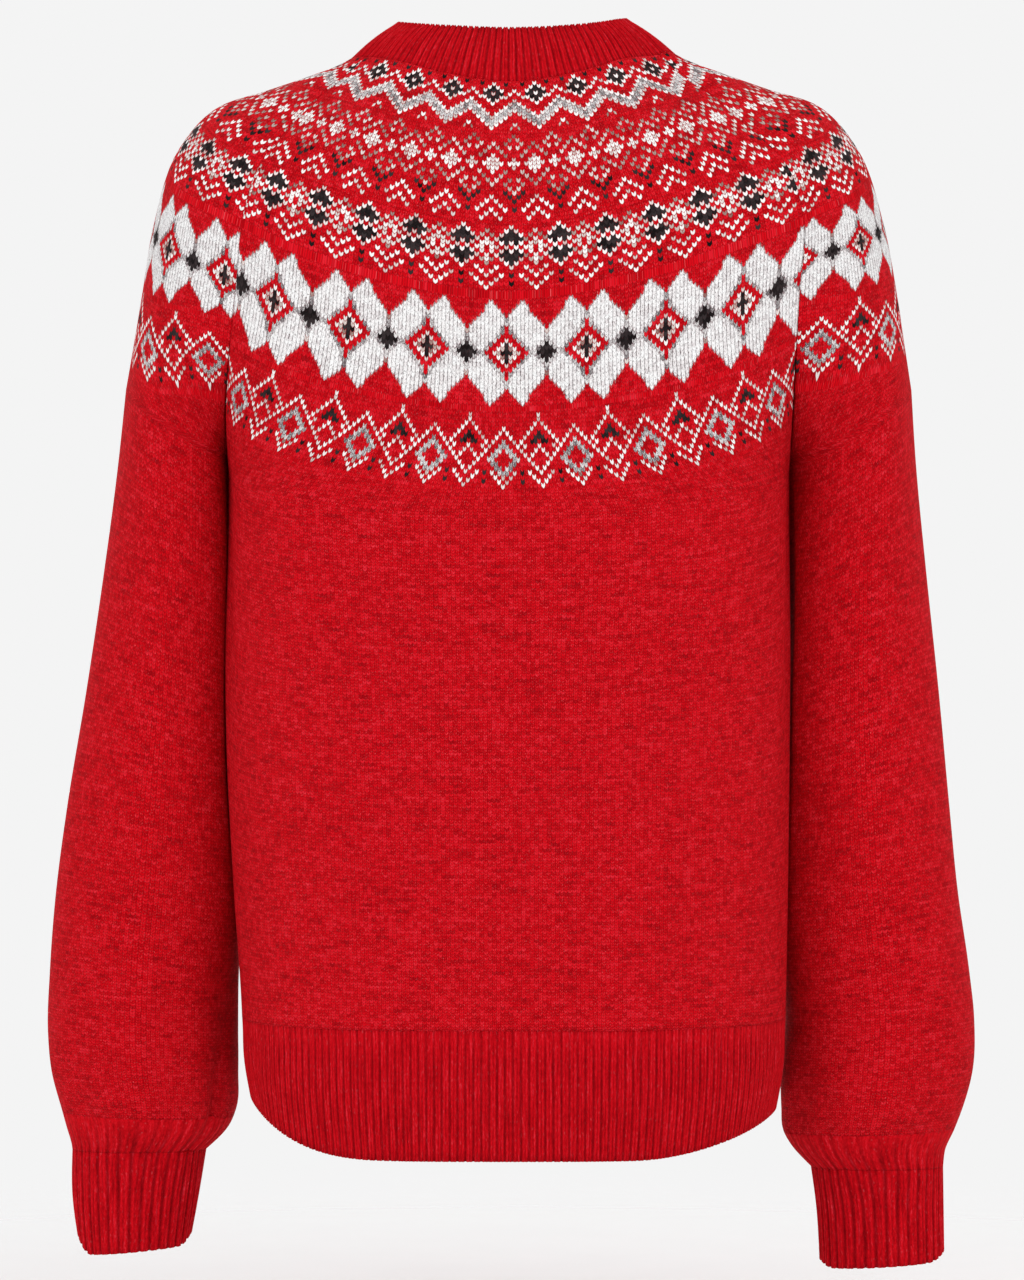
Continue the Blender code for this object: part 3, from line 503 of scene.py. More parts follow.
bandA = {
    "start": 0.6, "pitch": 2.40, "mirrored": False, "rows": (
        "..B..W..B.",
        "....WBW...",
        "W..WBBBW..",
        ".W.BBWBB.W",
        "..WWBBBWW.",
        "W...WBW...",
        "GW...W...W",
        "GGW.....WG",
        "WGGW...WGG",
        ".WGGW.WGGW",
        "..WGGWGGW.",
        "...WGGGW..",
        "W...WGW...",
        ".l...W...r",
    ),
}
bandB = {
    "start": 37.0, "pitch": 2.455, "mirrored": False, "rows": (
        "P.........",
        ".P.......P",
        "..P..P..P.",
        ".P..P.P..P",
        "...P...P..",
        "..P..W..P.",
        "W...WWW...",
        "WW.WWWWW.W",
        "W...WWW...",
        "..P..W..P.",
        "...P...P..",
        ".P..P.P..P",
        "..P..P..P.",
        ".P.......P",
        "P.B.....B.",
        ".B...W...B",
        "B...W.W...",
        "...W...W..",
        "B.W..W..W.",
        "....W.W...",
        "...W...W..",
    ),
}
bandC = {
    "start": 91.1, "pitch": 2.26, "mirrored": False, "rows": (
        "W.........",
        "BW...P...W",
        "BBW.P.P.WB",
        "BBBP.W.PBB",
        "WBW.WWW.WB",
        ".W.WW.WW.W",
        "WBW.W.W.WB",
        "BBBP.W.PBB",
        "BBW.PWP.WB",
        "BW...P...W",
        "W..W...W..",
        "....W.W...",
        "B.W..W..W.",
        "...W...W..",
        "B...W.W...",
        ".....W....",
    ),
}
bandD = {
    "start": 133.2, "pitch": 2.31, "mirrored": True, "rows": (
        "....S......",
        "...SSS.....",
        "..SSSS.....",
        ".SSSSSS....",
        "GSSSSSSS...",
        "GSSSSSSSS..",
        ".GSSSSSSSS.",
        ".GSSSSSSSSP",
        "..GSSSSSSSG",
        "W..GSSSSSSG",
        "BW..GSSSSGB",
        "BPW..GSSGBB",
        "BBPW..GGBBB",
        "BPW..GSSGBB",
        "BW..GSSSSGB",
        "W..GSSSSSSG",
        "..GSSSSSSSG",
        ".GSSSSSSSSP",
        ".GSSSSSSSS.",
        "GSSSSSSSS..",
        "GSSSSSSS...",
        ".SSSSSS....",
        "..SSSS.....",
        "...SSS.....",
        "....S......",
    ),
}
bandE = {
    "start": 195.1, "pitch": 2.45, "mirrored": True, "rows": (
        "..........W",
        "..........W",
        ".........W.",
        "W.......W..",
        ".W.....W..B",
        "..W...W..BB",
        "G..W.W..BB.",
        "GG..W.W...W",
        ".GG..W...W.",
        "..GG..W.W..",
        "...GG..W...",
        "..GG....W..",
        ".GG......W.",
        "GG.W.B.W..W",
        "P.W.....W..",
        ".W...B...W.",
        "W.........W",
    ),
}
bands = (bandA, bandB, bandC, bandD, bandE)
yarnCodes = ".WBGPS"

# Stitches in each band: on the back's left and right half, a front, and a sleeve with the place
# of one middle motif on it, from the back seam round. shift: how many stitches the back's middle
# motif sits off the centre line; widen: how much its stitches widen toward the sides
stitchCounts = {
    "back": ((41.5, 41.5), (56, 61), (54.5, 60), (72.3, 76), (90, 89)),
    "shift": (-1.25, -1.2, -0.5, 0.6, 1.5),
    "widen": (0.115, 0.015, 0.05, 0.04, 0.05),
    "front": (40, 57, 55, 71, 87),
    "sleeve_left": ((28, 0.5), (50, 0.5), (62, 0.543), (98, 0.443), (92, 0.491)),
    "sleeve_right": ((28, 0.5), (50, 0.5), (60, 0.438), (92, 0.421), (89, 0.509)),
}
chevron = 0.55         # a stitch's middle hangs this share of a row below its edges
plainStitch = 2.35     # width of a plain stitch, mm
plainRow = 1.77        # height of a plain row, mm


# Rows of the pattern lie further up toward the sides than the lines of the form: where that
# starts, where it is largest and where it ends, in mm down the cloth, then (place, mm) pairs
rowRises = {
    "back": (185, 237, 300, ((-1, 14.5), (-0.76, 10.5), (-0.42, 6), (0, 0), (0.42, 5),
                             (0.76, 10.5), (1, 14.5))),
    "front_left": (185, 237, 300, ((0, 14.5), (0.24, 10.5), (0.58, 6), (1, 0))),
    "front_right": (185, 237, 300, ((0, 14.5), (0.24, 10.5), (0.58, 6), (1, 0))),
    "sleeve_left": (165, 237, 250, ((0, 25), (0.1, 18), (0.23, 6), (0.5, 3), (0.77, 6),
                                    (0.9, 18), (1, 25))),
    "sleeve_right": (125, 237, 250, ((0, 29), (0.1, 24), (0.23, 19), (0.5, 7), (0.77, 10),
                                     (0.9, 20), (1, 25))),
}


def rowRise(name, places, levels):
    start, peak, end, profile = rowRises[name]
    across = np.interp(places, [p for p, _ in profile], [r for _, r in profile])
    return across * np.interp(levels, (start, peak, end), (0, 1, 0))


def chartRows(band):
    if not band["mirrored"]:
        return band["rows"]
    return tuple(row + row[-2:0:-1] for row in band["rows"])


def stitchSpans(name, number):
    # (places of the seams, stitches on each side of the middle, where the middle lies, shift)
    if name == "back":
        left, right = stitchCounts["back"][number]
        return -1.0, 1.0, left, right, 0.0, stitchCounts["shift"][number]
    if name.startswith("front"):
        count = stitchCounts["front"][number]
        return 0.0, 1.0, count, 1, 1.0, 0.0
    count, middle = stitchCounts[name][number]
    return 0.0, 1.0, count * middle, count * (1 - middle), middle, 0.0


def yarnOf(code, leg):
    if code in "lr":
        code = "P" if code == leg else "."
    return yarnCodes.index(code)


def bandRows(name, number, firstRow):
    # Rows of places and levels of one patterned band, with the yarn of every face
    band = bands[number]
    low, high, left, right, middle, shift = stitchSpans(name, number)
    columnMin, columnMax = -left + shift, right + shift
    if name.startswith("front"):
        columnMax = 0.0
    inner = np.arange(math.ceil(2 * columnMin + 0.3), math.floor(2 * columnMax - 0.3) + 1) / 2
    columns = np.concatenate([[columnMin], inner, [columnMax]])
    away = columns - shift
    share = np.where(away < 0, away / left, away / max(right, 1e-6))
    widen = stitchCounts["widen"][number] if name == "back" else 0
    share = share * (1 - widen) + widen * share ** 3
    places = middle + share * np.where(away < 0, middle - low, high - middle)
    hang = 1 - 2 * np.abs(columns - np.round(columns))
    hang[0] = hang[-1] = 0
    chart = chartRows(band)
    width = len(chart[0])
    faceMiddle = (columns[1:] + columns[:-1]) / 2
    stitch = np.round(faceMiddle).astype(int)
    leg = np.where(faceMiddle < stitch, "l", "r")
    rows = []
    pitch, start, count = band["pitch"], band["start"], len(chart)

    def add(step, drop, yarns):
        level = start + pitch * (step + drop * hang)
        level = level - rowRise(name, places, level)
        rows.append({
            "places": places, "levels": level, "u": columns + 0.5,
            "v": firstRow + step + drop * hang, "yarns": yarns, "key": (name, number),
        })

    add(-start / pitch if number == 0 else -0.15, 0, np.zeros(len(columns) - 1, int))
    for k in range(count + 1):
        yarns = np.zeros(len(columns) - 1, int)
        if k < count:
            yarns = np.array([yarnOf(chart[k][s % width], half) for s, half in zip(stitch, leg)])
        add(k, chevron, yarns)
    add(count + 0.75, 0, np.zeros(len(columns) - 1, int))
    return rows


def plainRows(name, fromLevel, toLevel, count, columns, firstRow):
    low = -1.0 if name == "back" else 0.0
    places = np.linspace(low, 1.0, columns + 1)
    surface = surfaces[name]
    length = np.interp(0.5 * (fromLevel + toLevel), surface["levels"], surface["lengths"])
    u = (places - 0.5 * (low + 1)) / (1 - low) * length / plainStitch
    rows = []
    for level in np.linspace(fromLevel, toLevel, count + 1):
        levels = level - rowRise(name, places, np.full(columns + 1, level))
        rows.append({
            "places": places, "levels": levels, "u": u, "v": firstRow + levels / plainRow,
            "yarns": np.zeros(columns, int), "key": (name, "plain"),
        })
    return rows


# Soft creases of the cloth: place across, level down, half width, half length, slant, depth in mm

creases = {
    "back": (
        (-0.86, 330, 0.05, 90, 0.0, 1.6), (0.88, 340, 0.05, 100, 0.0, 1.6),
        (-0.45, 480, 0.10, 70, 0.2, -0.9), (0.30, 505, 0.12, 60, -0.2, -0.8),
        (0.05, 400, 0.20, 90, 0.0, 0.6), (-0.62, 300, 0.05, 60, 0.5, 0.9),
        (0.66, 300, 0.05, 60, -0.5, 0.9), (0.55, 430, 0.08, 80, 0.3, 0.7),
    ),
    "front_left": (
        (0.16, 330, 0.07, 90, 0.0, 1.6), (0.45, 300, 0.08, 70, -0.5, 1.0),
        (0.60, 470, 0.14, 80, 0.1, -0.9), (0.30, 440, 0.10, 80, 0.2, 0.8),
    ),
    "front_right": (
        (0.15, 340, 0.07, 100, 0.0, 1.5), (0.42, 290, 0.08, 70, -0.5, 1.1),
        (0.66, 450, 0.14, 80, 0.1, -0.9), (0.34, 470, 0.10, 70, 0.2, 0.8),
    ),
    "sleeve_left": (
        (0.09, 598, 0.018, 42, 0.7, 2.4), (0.22, 560, 0.02, 30, 0.5, 1.2), (0.16, 300, 0.03, 40, 0.6, 1.3),
        (0.35, 430, 0.05, 80, 0.0, 0.8), (0.80, 540, 0.03, 40, -0.4, 1.4),
        (0.70, 380, 0.05, 70, 0.2, 0.9), (0.10, 610, 0.02, 30, 0.2, 1.5),
    ),
    "sleeve_right": (
        (0.17, 455, 0.035, 14, 1.6, 2.2), (0.14, 475, 0.03, 12, 1.4, 1.4),
        (0.30, 555, 0.05, 14, 1.4, 1.8), (0.35, 400, 0.05, 80, 0.0, 0.8),
        (0.80, 540, 0.03, 40, -0.4, 1.4), (0.70, 400, 0.05, 70, 0.2, 0.9),
        (0.16, 610, 0.02, 30, 0.3, 1.4),
    ),
}


def creaseDepth(name, places, levels):
    depth = np.zeros(np.shape(places))
    span = 2.0 if name == "back" else 1.0
    for place, level, wide, tall, slant, deep in creases.get(name, ()):
        away = (places - place - slant * 0.001 * (levels - level) * span) / wide
        depth += deep * np.exp(-away ** 2 - ((levels - level) / tall) ** 2)
    return depth


def edgeDip(surface, places, levels):
    # The cloth rolls in toward its raglan and side seams
    if surface.get("plainEdges"):
        return 0
    low, high = surface["places"][0], surface["places"][-1]
    length = np.interp(levels, surface["levels"], surface["lengths"])
    away = np.minimum(places - low, high - places) / (high - low) * length
    dip = 0.4 * np.exp(-(away / 1.6) ** 2)
    return dip * np.interp(levels, (190, 250), (1, 0.1))


# Mesh of a piece: outer rows, a plainer inside and the rims between them

def zipRows(one, placesOne, two, placesTwo):
    # Triangles between two rows of vertices with different spacing
    faces = []
    i, j = 0, 0
    while i < len(one) - 1 or j < len(two) - 1:
        nextOne = placesOne[i + 1] if i < len(one) - 1 else np.inf
        nextTwo = placesTwo[j + 1] if j < len(two) - 1 else np.inf
        if nextOne <= nextTwo:
            faces.append((one[i], one[i + 1], two[j]))
            i += 1
        else:
            faces.append((one[i], two[j + 1], two[j]))
            j += 1
    return [face for face in faces if len(set(face)) == 3]


def shellMesh(name, surface, rows, thickness, innerRows, innerColumns, materials, insideSlot):
    points, faces, slots, coords = [], [], [], []
    joined = []
    closedFrom = surface["closedFrom"]
    counted = 0

    def addRow(row, outward):
        nonlocal counted
        base, normal = readSurface(surface, row["places"], row["levels"])
        depth = creaseDepth(name, row["places"], row["levels"])
        if outward:
            depth = depth + edgeDip(surface, row["places"], row["levels"]) + row.get("relief", 0)
        else:
            depth = depth + thickness
        places = base - normal * depth[:, None]
        if "lift" in row:
            places[:, 2] += row["lift"]
        index = np.arange(counted, counted + len(places))
        closed = closedFrom is not None and row["levels"].min() >= closedFrom - 1e-6
        if closed:
            places = places[:-1]
            index[-1] = index[0]
        points.extend(places)
        counted += len(places)
        return index

    def addFace(corners, uv, slot):
        faces.append(tuple(int(k) for k in corners))
        coords.extend(uv)
        slots.append(slot)

    # outer
    previous = None
    firstOuter = None
    leftEdge, rightEdge = [], []
    for row in rows:
        index = addRow(row, True)
        if firstOuter is None:
            firstOuter = (index, row)
        if closedFrom is None or row["levels"].min() <= closedFrom + 1e-6:
            leftEdge.append((index[0], row["levels"][0], row))
            rightEdge.append((index[-1], row["levels"][-1], row))
        if previous is not None:
            old, oldRow = previous
            if oldRow["key"] == row["key"]:
                for k in range(len(index) - 1):
                    uv = (
                        (oldRow["u"][k], oldRow["v"][k]), (row["u"][k], row["v"][k]),
                        (row["u"][k + 1], row["v"][k + 1]), (oldRow["u"][k + 1], oldRow["v"][k + 1]),
                    )
                    addFace((old[k], index[k], index[k + 1], old[k + 1]), uv, oldRow["yarns"][k])
            else:
                placeOf = {}
                for list1, row1 in ((old, oldRow), (index, row)):
                    for k, v in enumerate(list1):
                        placeOf.setdefault(int(v), row1["places"][k])
                for face in zipRows(old, oldRow["places"], index, row["places"]):
                    v = oldRow["v"].max()
                    uv = [(np.interp(placeOf[int(q)], oldRow["places"], oldRow["u"]), v) for q in face]
                    addFace(face[::-1], uv[::-1], 0)
        previous = (index, row)
    lastOuter = previous

    # inside
    low, high = surface["places"][0], surface["places"][-1]
    top, bottom = rows[0]["levels"].min(), rows[-1]["levels"].max()
    levels = np.linspace(top, bottom, innerRows + 1)
    if closedFrom is not None:
        levels[np.argmin(np.abs(levels - closedFrom))] = closedFrom
    columns = np.linspace(low, high, innerColumns + 1)
    inside = []
    for level in levels:
        row = {"places": columns, "levels": np.full(len(columns), level)}
        inside.append((addRow(row, False), level))
    u = columns * 100
    for (one, levelOne), (two, levelTwo) in zip(inside[:-1], inside[1:]):
        for k in range(len(columns) - 1):
            uv = (
                (u[k], levelOne / plainRow), (u[k + 1], levelOne / plainRow),
                (u[k + 1], levelTwo / plainRow), (u[k], levelTwo / plainRow),
            )
            addFace((one[k], one[k + 1], two[k + 1], two[k]), uv, insideSlot)

    # rims
    def rim(one, paramOne, two, paramTwo, turned, flat=False):
        for face in zipRows(one, paramOne, two, paramTwo):
            face = face[::-1] if turned else face
            if flat:
                joined.append(len(faces))
            addFace(face, ((0, 0), (0.5, 0), (0.5, 0.5)), 0)

    # a rim that meets the next piece is shaded flat, so that no line shows at the join
    rim(firstOuter[0], firstOuter[1]["places"], inside[0][0], columns, False, True)
    rim(lastOuter[0], lastOuter[1]["places"], inside[-1][0], columns, True, name in knitPieces)
    innerEdge = [(ids, level) for ids,
                 level in inside if closedFrom is None or level <= closedFrom + 1e-6]
    rim([v for v, _, _ in leftEdge], [q for _, q, _ in leftEdge], [ids[0] for ids, _ in innerEdge],
        [q for _, q in innerEdge], True)
    rim([v for v, _, _ in rightEdge], [q for _, q, _ in rightEdge], [ids[-1] for ids, _ in innerEdge],
        [q for _, q in innerEdge], False)
    return buildObject(name + "_cloth", np.array(points), faces, slots, coords, materials, joined)


def signedVolume(points, faces):
    total = 0.0
    for corners in (3, 4):
        picked = np.array([f for f in faces if len(f) == corners], int)
        if not len(picked):
            continue
        a = points[picked[:, 0]]
        for k in range(1, corners - 1):
            b, c = points[picked[:, k]], points[picked[:, k + 1]]
            total += np.einsum("ij,ij->i", a, np.cross(b, c)).sum()
    return total


def buildObject(name, points, faces, slots, coords, materials, flat=()):
    # A mesh object from points in mm, with stitch coordinates
    turned = signedVolume(points, faces) < 0
    mesh = bpy.data.meshes.new(name)
    mesh.from_pydata((points * mm).tolist(), [], faces)
    uv = mesh.uv_layers.new(name="stitches")
    uv.data.foreach_set("uv", np.array(coords, np.float32).ravel())
    mesh.polygons.foreach_set("material_index", np.array(slots, np.int32))
    smooth = np.ones(len(faces), bool)
    smooth[list(flat)] = False
    mesh.polygons.foreach_set("use_smooth", smooth)
    if yarns["brushedWhite"] in materials:
        # share of the brushed yarn around each corner, so that its hairs can cross the edge
        corners = np.concatenate([np.array(face) for face in faces])
        brushed = np.repeat(np.array(slots) == brushedIndex, [len(face) for face in faces]).astype(float)
        total = np.bincount(corners, brushed, len(points))
        share = total / np.maximum(np.bincount(corners, minlength=len(points)), 1)
        mesh.attributes.new("brushed", "FLOAT", "POINT").data.foreach_set("value", share)
    for material in materials:
        mesh.materials.append(material)
    if turned:
        mesh.flip_normals()
    mesh.update()
    made = bpy.data.objects.new(name, mesh)
    bpy.context.scene.collection.objects.link(made)
    return made


# Materials

def colourRamp(tree, value, stops):
    ramp = addNode(tree, "ValToRGB", {0: value})
    ramp.color_ramp.elements[0].position = stops[0][0]
    ramp.color_ramp.elements[0].color = linearColour(stops[0][1])
    ramp.color_ramp.elements[1].position = stops[-1][0]
    ramp.color_ramp.elements[1].color = linearColour(stops[-1][1])
    for place, colour in stops[1:-1]:
        ramp.color_ramp.elements.new(place).color = linearColour(colour)
    return ramp


def knitMaterial(name, look):
    # Knitted wool: V-shaped stitches from the stitch coordinates, heathered yarn, a soft sheen.
    # To the eye: matt, slightly hairy, flecked along the rows, darker between the stitches with painted
    # shade (the pale yarns show the red yarn there).
    material, tree = emptyMaterial(name)
    coords = addNode(tree, "UVMap", uv_map="stitches")
    split = addNode(tree, "SeparateXYZ", {0: coords})
    column = addNode(tree, "Math", {0: split}, operation="FRACT")
    centred = addNode(tree, "Math", {0: column, 1: 0.5}, operation="SUBTRACT")
    side = addNode(tree, "Math", {0: centred}, operation="ABSOLUTE")
    # 0 in the middle of a stitch, 1 at its edges
    leg = addNode(tree, "Math", {0: side, 1: 2.0}, operation="MULTIPLY")
    drop = addNode(tree, "Math", {0: leg, 1: chevron, 2: -chevron}, operation="MULTIPLY_ADD")
    row = addNode(tree, "Math", {0: split.outputs[1], 1: drop}, operation="ADD")
    rowPart = addNode(tree, "Math", {0: row}, operation="FRACT")
    rowNumber = addNode(tree, "Math", {0: row}, operation="FLOOR")
    columnNumber = addNode(tree, "Math", {0: split}, operation="FLOOR")
    # height of the yarn: round across each leg, and along it
    acrossTurn = addNode(tree, "Math", {0: leg, 1: math.pi * (1 - look["middle"]),
                                        2: math.pi * look["middle"]}, operation="MULTIPLY_ADD")
    across = addNode(tree, "Math", {0: acrossTurn}, operation="SINE")
    alongTurn = addNode(tree, "Math", {0: rowPart, 1: math.pi}, operation="MULTIPLY")
    along = addNode(tree, "Math", {0: alongTurn}, operation="SINE")
    alongSoft = addNode(tree, "Math", {0: along, 1: look.get("rows", 0.55)}, operation="POWER")
    acrossSoft = addNode(tree, "Math", {0: across, 1: 0.7}, operation="POWER")
    height = addNode(tree, "Math", {0: alongSoft, 1: acrossSoft}, operation="MULTIPLY")
    # one random value per stitch, and streaks that run along a row as the yarn changes tone
    stitchPlace = addNode(tree, "CombineXYZ", {0: columnNumber, 1: rowNumber})
    stitchNoise = addNode(tree, "TexWhiteNoise", {0: stitchPlace}, noise_dimensions="2D")
    streakAlong = addNode(tree, "Math", {0: split, 1: look["streakLength"]}, operation="MULTIPLY")
    streakRow = addNode(tree, "Math", {0: rowNumber, 1: 3.71}, operation="MULTIPLY")
    streakPlace = addNode(tree, "CombineXYZ", {0: streakAlong, 1: streakRow})
    streak = addNode(tree, "TexNoise", {"Vector": streakPlace, "Scale": 1.0, "Detail": 3.0,
                                        "Roughness": 0.65}, noise_dimensions="2D")
    # fibres within the yarn, about 0.3 mm
    fibrePlace = addNode(tree, "CombineXYZ", {0: split, 1: row})
    fibre = addNode(tree, "TexNoise", {"Vector": fibrePlace, "Scale": 5.0, "Detail": 3.0,
                                       "Roughness": 0.7}, noise_dimensions="2D")
    stitchShare = addNode(tree, "Math", {0: stitchNoise, 1: look["stitchVary"]}, operation="MULTIPLY")
    streakShare = addNode(tree, "Math", {0: streak, 1: look["streakVary"], 2: stitchShare},
                          operation="MULTIPLY_ADD")
    fibreShare = addNode(tree, "Math", {0: fibre, 1: look["fibreVary"], 2: streakShare},
                         operation="MULTIPLY_ADD")
    total = look["stitchVary"] + look["streakVary"] + look["fibreVary"]
    tone = addNode(tree, "Math", {0: fibreShare, 1: total}, operation="DIVIDE")
    colour = colourRamp(tree, tone, look["ramp"])
    # single pale or dark hairs, about 1 mm long
    hairPlace = addNode(tree, "VectorMath", {0: fibrePlace, 1: (4.3, 1.7, 1)}, operation="MULTIPLY")
    hair = addNode(tree, "TexNoise", {"Vector": hairPlace, "Scale": 1.0, "Detail": 2.0,
                                      "Roughness": 0.8}, noise_dimensions="2D")
    flecks = [(hair,) + each for each in look["hairs"]]
    if "streaks" in look:
        flecks.append((streak,) + look["streaks"])
    for noise, low, high, part, tint in flecks:
        share = addNode(tree, "MapRange", {0: noise, 1: low, 2: high, 4: part})
        colour = addNode(tree, "Mix", {0: share, 6: colour, 7: linearColour(tint)},
                         data_type="RGBA").outputs[2]
    if "across" in look:
        # brushed yarn and the red beside it: hairs of the one lie over the other
        around = addNode(tree, "Attribute", attribute_name="brushed")
        wide = addNode(tree, "Math", {0: around.outputs["Fac"], 1: 3.0, 2: -1.0},
                       operation="MULTIPLY_ADD")
        hairy = addNode(tree, "Math", {0: hair, 1: 3.8, 2: -1.9}, operation="MULTIPLY_ADD")
        white = addNode(tree, "Math", {0: wide, 1: hairy}, operation="ADD", use_clamp=True)
        two = (look["across"][1], colour) if look["across"][0] == "under" else (colour, look["across"][1])
        two = [linearColour(c) if isinstance(c, str) else c for c in two]
        colour = addNode(tree, "Mix", {0: white, 6: two[0], 7: two[1]}, data_type="RGBA").outputs[2]
    # some stitches are pulled tighter than others
    uneven = addNode(tree, "Math", {0: stitchNoise, 1: 2 * look["uneven"], 2: 1 - look["uneven"]},
                     operation="MULTIPLY_ADD")
    filled = addNode(tree, "Math", {0: stitchNoise, 1: look.get("filled", 0.0)}, operation="MULTIPLY")
    seen = addNode(tree, "Math", {0: height, 1: uneven, 2: filled}, operation="MULTIPLY_ADD")
    # painted shade between the stitches: where the yarn lies low its colour turns to the groove colour,
    # which for the pale yarns is the red yarn beneath
    shade = addNode(tree, "MapRange", {0: seen, 1: look["gap"][0], 2: look["gap"][1], 3: look["groove"],
                                       4: 1.0})
    coloured = addNode(tree, "Mix", {0: shade, 6: linearColour(look["grooveShadeAndYarnColour"]), 7: colour},
                       data_type="RGBA")
    fuzz = addNode(tree, "Math", {0: fibre, 1: 0.35, 2: height}, operation="MULTIPLY_ADD")
    bump = addNode(tree, "Bump", {"Height": fuzz, "Strength": look["bump"], "Distance": 0.0007})
    shader = addNode(tree, "BsdfPrincipled", {"Base Color": coloured.outputs[2], "Normal": bump,
                                              "Roughness": look["roughness"], "Metallic": 0.0,
                                              "IOR": 1.54, "Specular IOR Level": look["gloss"],
                                              "Sheen Weight": look["sheen"], "Sheen Roughness": 0.45,
                                              "Sheen Tint": linearColour(look["ramp"][-1][1])})
    addNode(tree, "OutputMaterial", {0: shader})
    return material


yarnLooks = {
    # heathered red of the plain knit
    "redWool": {
        "ramp": ((0.30, "AC000C"), (0.44, "CA0311"), (0.55, "D80717"), (0.72, "E72434")),
        "streakLength": 0.11, "stitchVary": 0.5, "streakVary": 0.9, "fibreVary": 0.9,
        # its groove colour is painted shade between the stitches
        "groove": 0.4, "gap": (0.0, 0.75), "grooveShadeAndYarnColour": "6C0006", "uneven": 0.25, "middle": 0.1,
        "hairs": ((0.62, 0.78, 0.5, "F08C92"), (0.39, 0.27, 0.6, "68040A")),
        # thin dark stretches of yarn along a row, 10 to 30 mm long
        "streaks": (0.42, 0.28, 0.34, "8A0610"),
        "across": ("over", "BDAFAF"),
        "bump": 0.6, "roughness": 0.9, "sheen": 0.02, "gloss": 0.05,
    },
    # plain white of the fine figures: clean legs with red showing between them
    "whiteWool": {
        "ramp": ((0.25, "D6CCC6"), (0.6, "FFFDFB")),
        "streakLength": 0.4, "stitchVary": 1.0, "streakVary": 0.5, "fibreVary": 0.8,
        "groove": 0.0, "gap": (0.18, 0.60), "grooveShadeAndYarnColour": "A60A16", "uneven": 0.4, "middle": 0.12,
        "hairs": ((0.36, 0.28, 0.5, "8E6A68"),),
        "bump": 0.7, "roughness": 0.9, "sheen": 0.1, "gloss": 0.12,
    },
    # charcoal black, slightly hairy
    "blackWool": {
        "ramp": ((0.25, "120D0E"), (0.75, "383031")),
        "streakLength": 0.4, "stitchVary": 1.0, "streakVary": 0.5, "fibreVary": 0.6,
        # its groove colour is painted shade between the stitches
        "groove": 0.5, "gap": (0.0, 0.6), "grooveShadeAndYarnColour": "0B0506", "uneven": 0.25, "middle": 0.3,
        "hairs": ((0.66, 0.80, 0.5, "8A3038"),),
        "bump": 0.6, "roughness": 0.9, "sheen": 0.03, "gloss": 0.08,
    },
    # grey and white strands twisted together: salt and pepper
    "greyMarl": {
        "ramp": ((0.38, "463E40"), (0.48, "948C8E"), (0.56, "F0ECEB")),
        "streakLength": 1.9, "stitchVary": 0.5, "streakVary": 0.7, "fibreVary": 2.2,
        # its groove colour is dark red: the red yarn between the legs, darkened with painted shade
        "groove": 0.2, "gap": (0.0, 0.6), "grooveShadeAndYarnColour": "5A3A40", "uneven": 0.25, "middle": 0.1,
        "hairs": ((0.62, 0.72, 0.8, "FFFDFC"), (0.40, 0.30, 0.8, "2A2224")),
        "bump": 0.6, "roughness": 0.9, "sheen": 0.08, "gloss": 0.1,
    },
    # pale, beige and pinkish strands twisted together
    "paleMarl": {
        "ramp": ((0.34, "74564E"), (0.5, "C4B2AA"), (0.64, "F2EAE6")),
        "streakLength": 1.9, "stitchVary": 0.9, "streakVary": 0.7, "fibreVary": 1.6,
        "groove": 0.0, "gap": (0.16, 0.60), "grooveShadeAndYarnColour": "9A0C18", "uneven": 0.25, "middle": 0.12,
        "hairs": ((0.42, 0.30, 0.7, "9A5A54"),),
        "bump": 0.6, "roughness": 0.9, "sheen": 0.08, "gloss": 0.1,
    },
    # brushed white: long hairs lie over the stitches and blur their edges
    "brushedWhite": {
        "ramp": ((0.25, "E6DFE0"), (0.5, "FBF8F8"), (0.7, "FFFFFF")),
        "streakLength": 0.8, "stitchVary": 0.8, "streakVary": 0.5, "fibreVary": 1.0,
        # its groove colour is a dark red: the red yarn between the wales, darkened with painted shade
        "groove": 0.0, "gap": (0.14, 0.60), "grooveShadeAndYarnColour": "3E161E", "uneven": 0.1, "middle": 0.42,
        # rows that hardly show, and gaps between columns that hairs fill in some stitches
        "rows": 0.2, "filled": 0.36,
        "hairs": ((0.44, 0.33, 0.85, "463034"),),
        "across": ("under", "6E464C"),
        "bump": 0.8, "roughness": 0.95, "sheen": 0.2, "gloss": 0.08,
    },
    # wrong side of the knitting, seen through the neck, hem and cuffs: the red made darker than the
    # outside with painted shade, and painted shade in its grooves
    "redInside": {
        "ramp": ((0.25, "7E000A"), (0.6, "B20612"), (0.8, "C51C2C")),
        "streakLength": 0.2, "stitchVary": 0.8, "streakVary": 1.0, "fibreVary": 0.7,
        "groove": 0.45, "gap": (0.0, 0.75), "grooveShadeAndYarnColour": "520006", "uneven": 0.25, "middle": 0.1,
        "hairs": ((0.66, 0.80, 0.5, "D8656E"),),
        "bump": 0.6, "roughness": 0.9, "sheen": 0.03, "gloss": 0.06,
    },
}


ribLook = {
    "ramp": ((0.34, "A4000B"), (0.47, "C40412"), (0.58, "D60B1A"), (0.72, "E83040")),
    "between": 0.6,       # how much painted shade darkens the groove between two pairs of wales, 0 to 1
    "within": 0.36,       # and the finer one inside a pair
    "paleHairs": "F0727C",
    "roughness": 0.9, "sheen": 0.03, "gloss": 0.06,
}


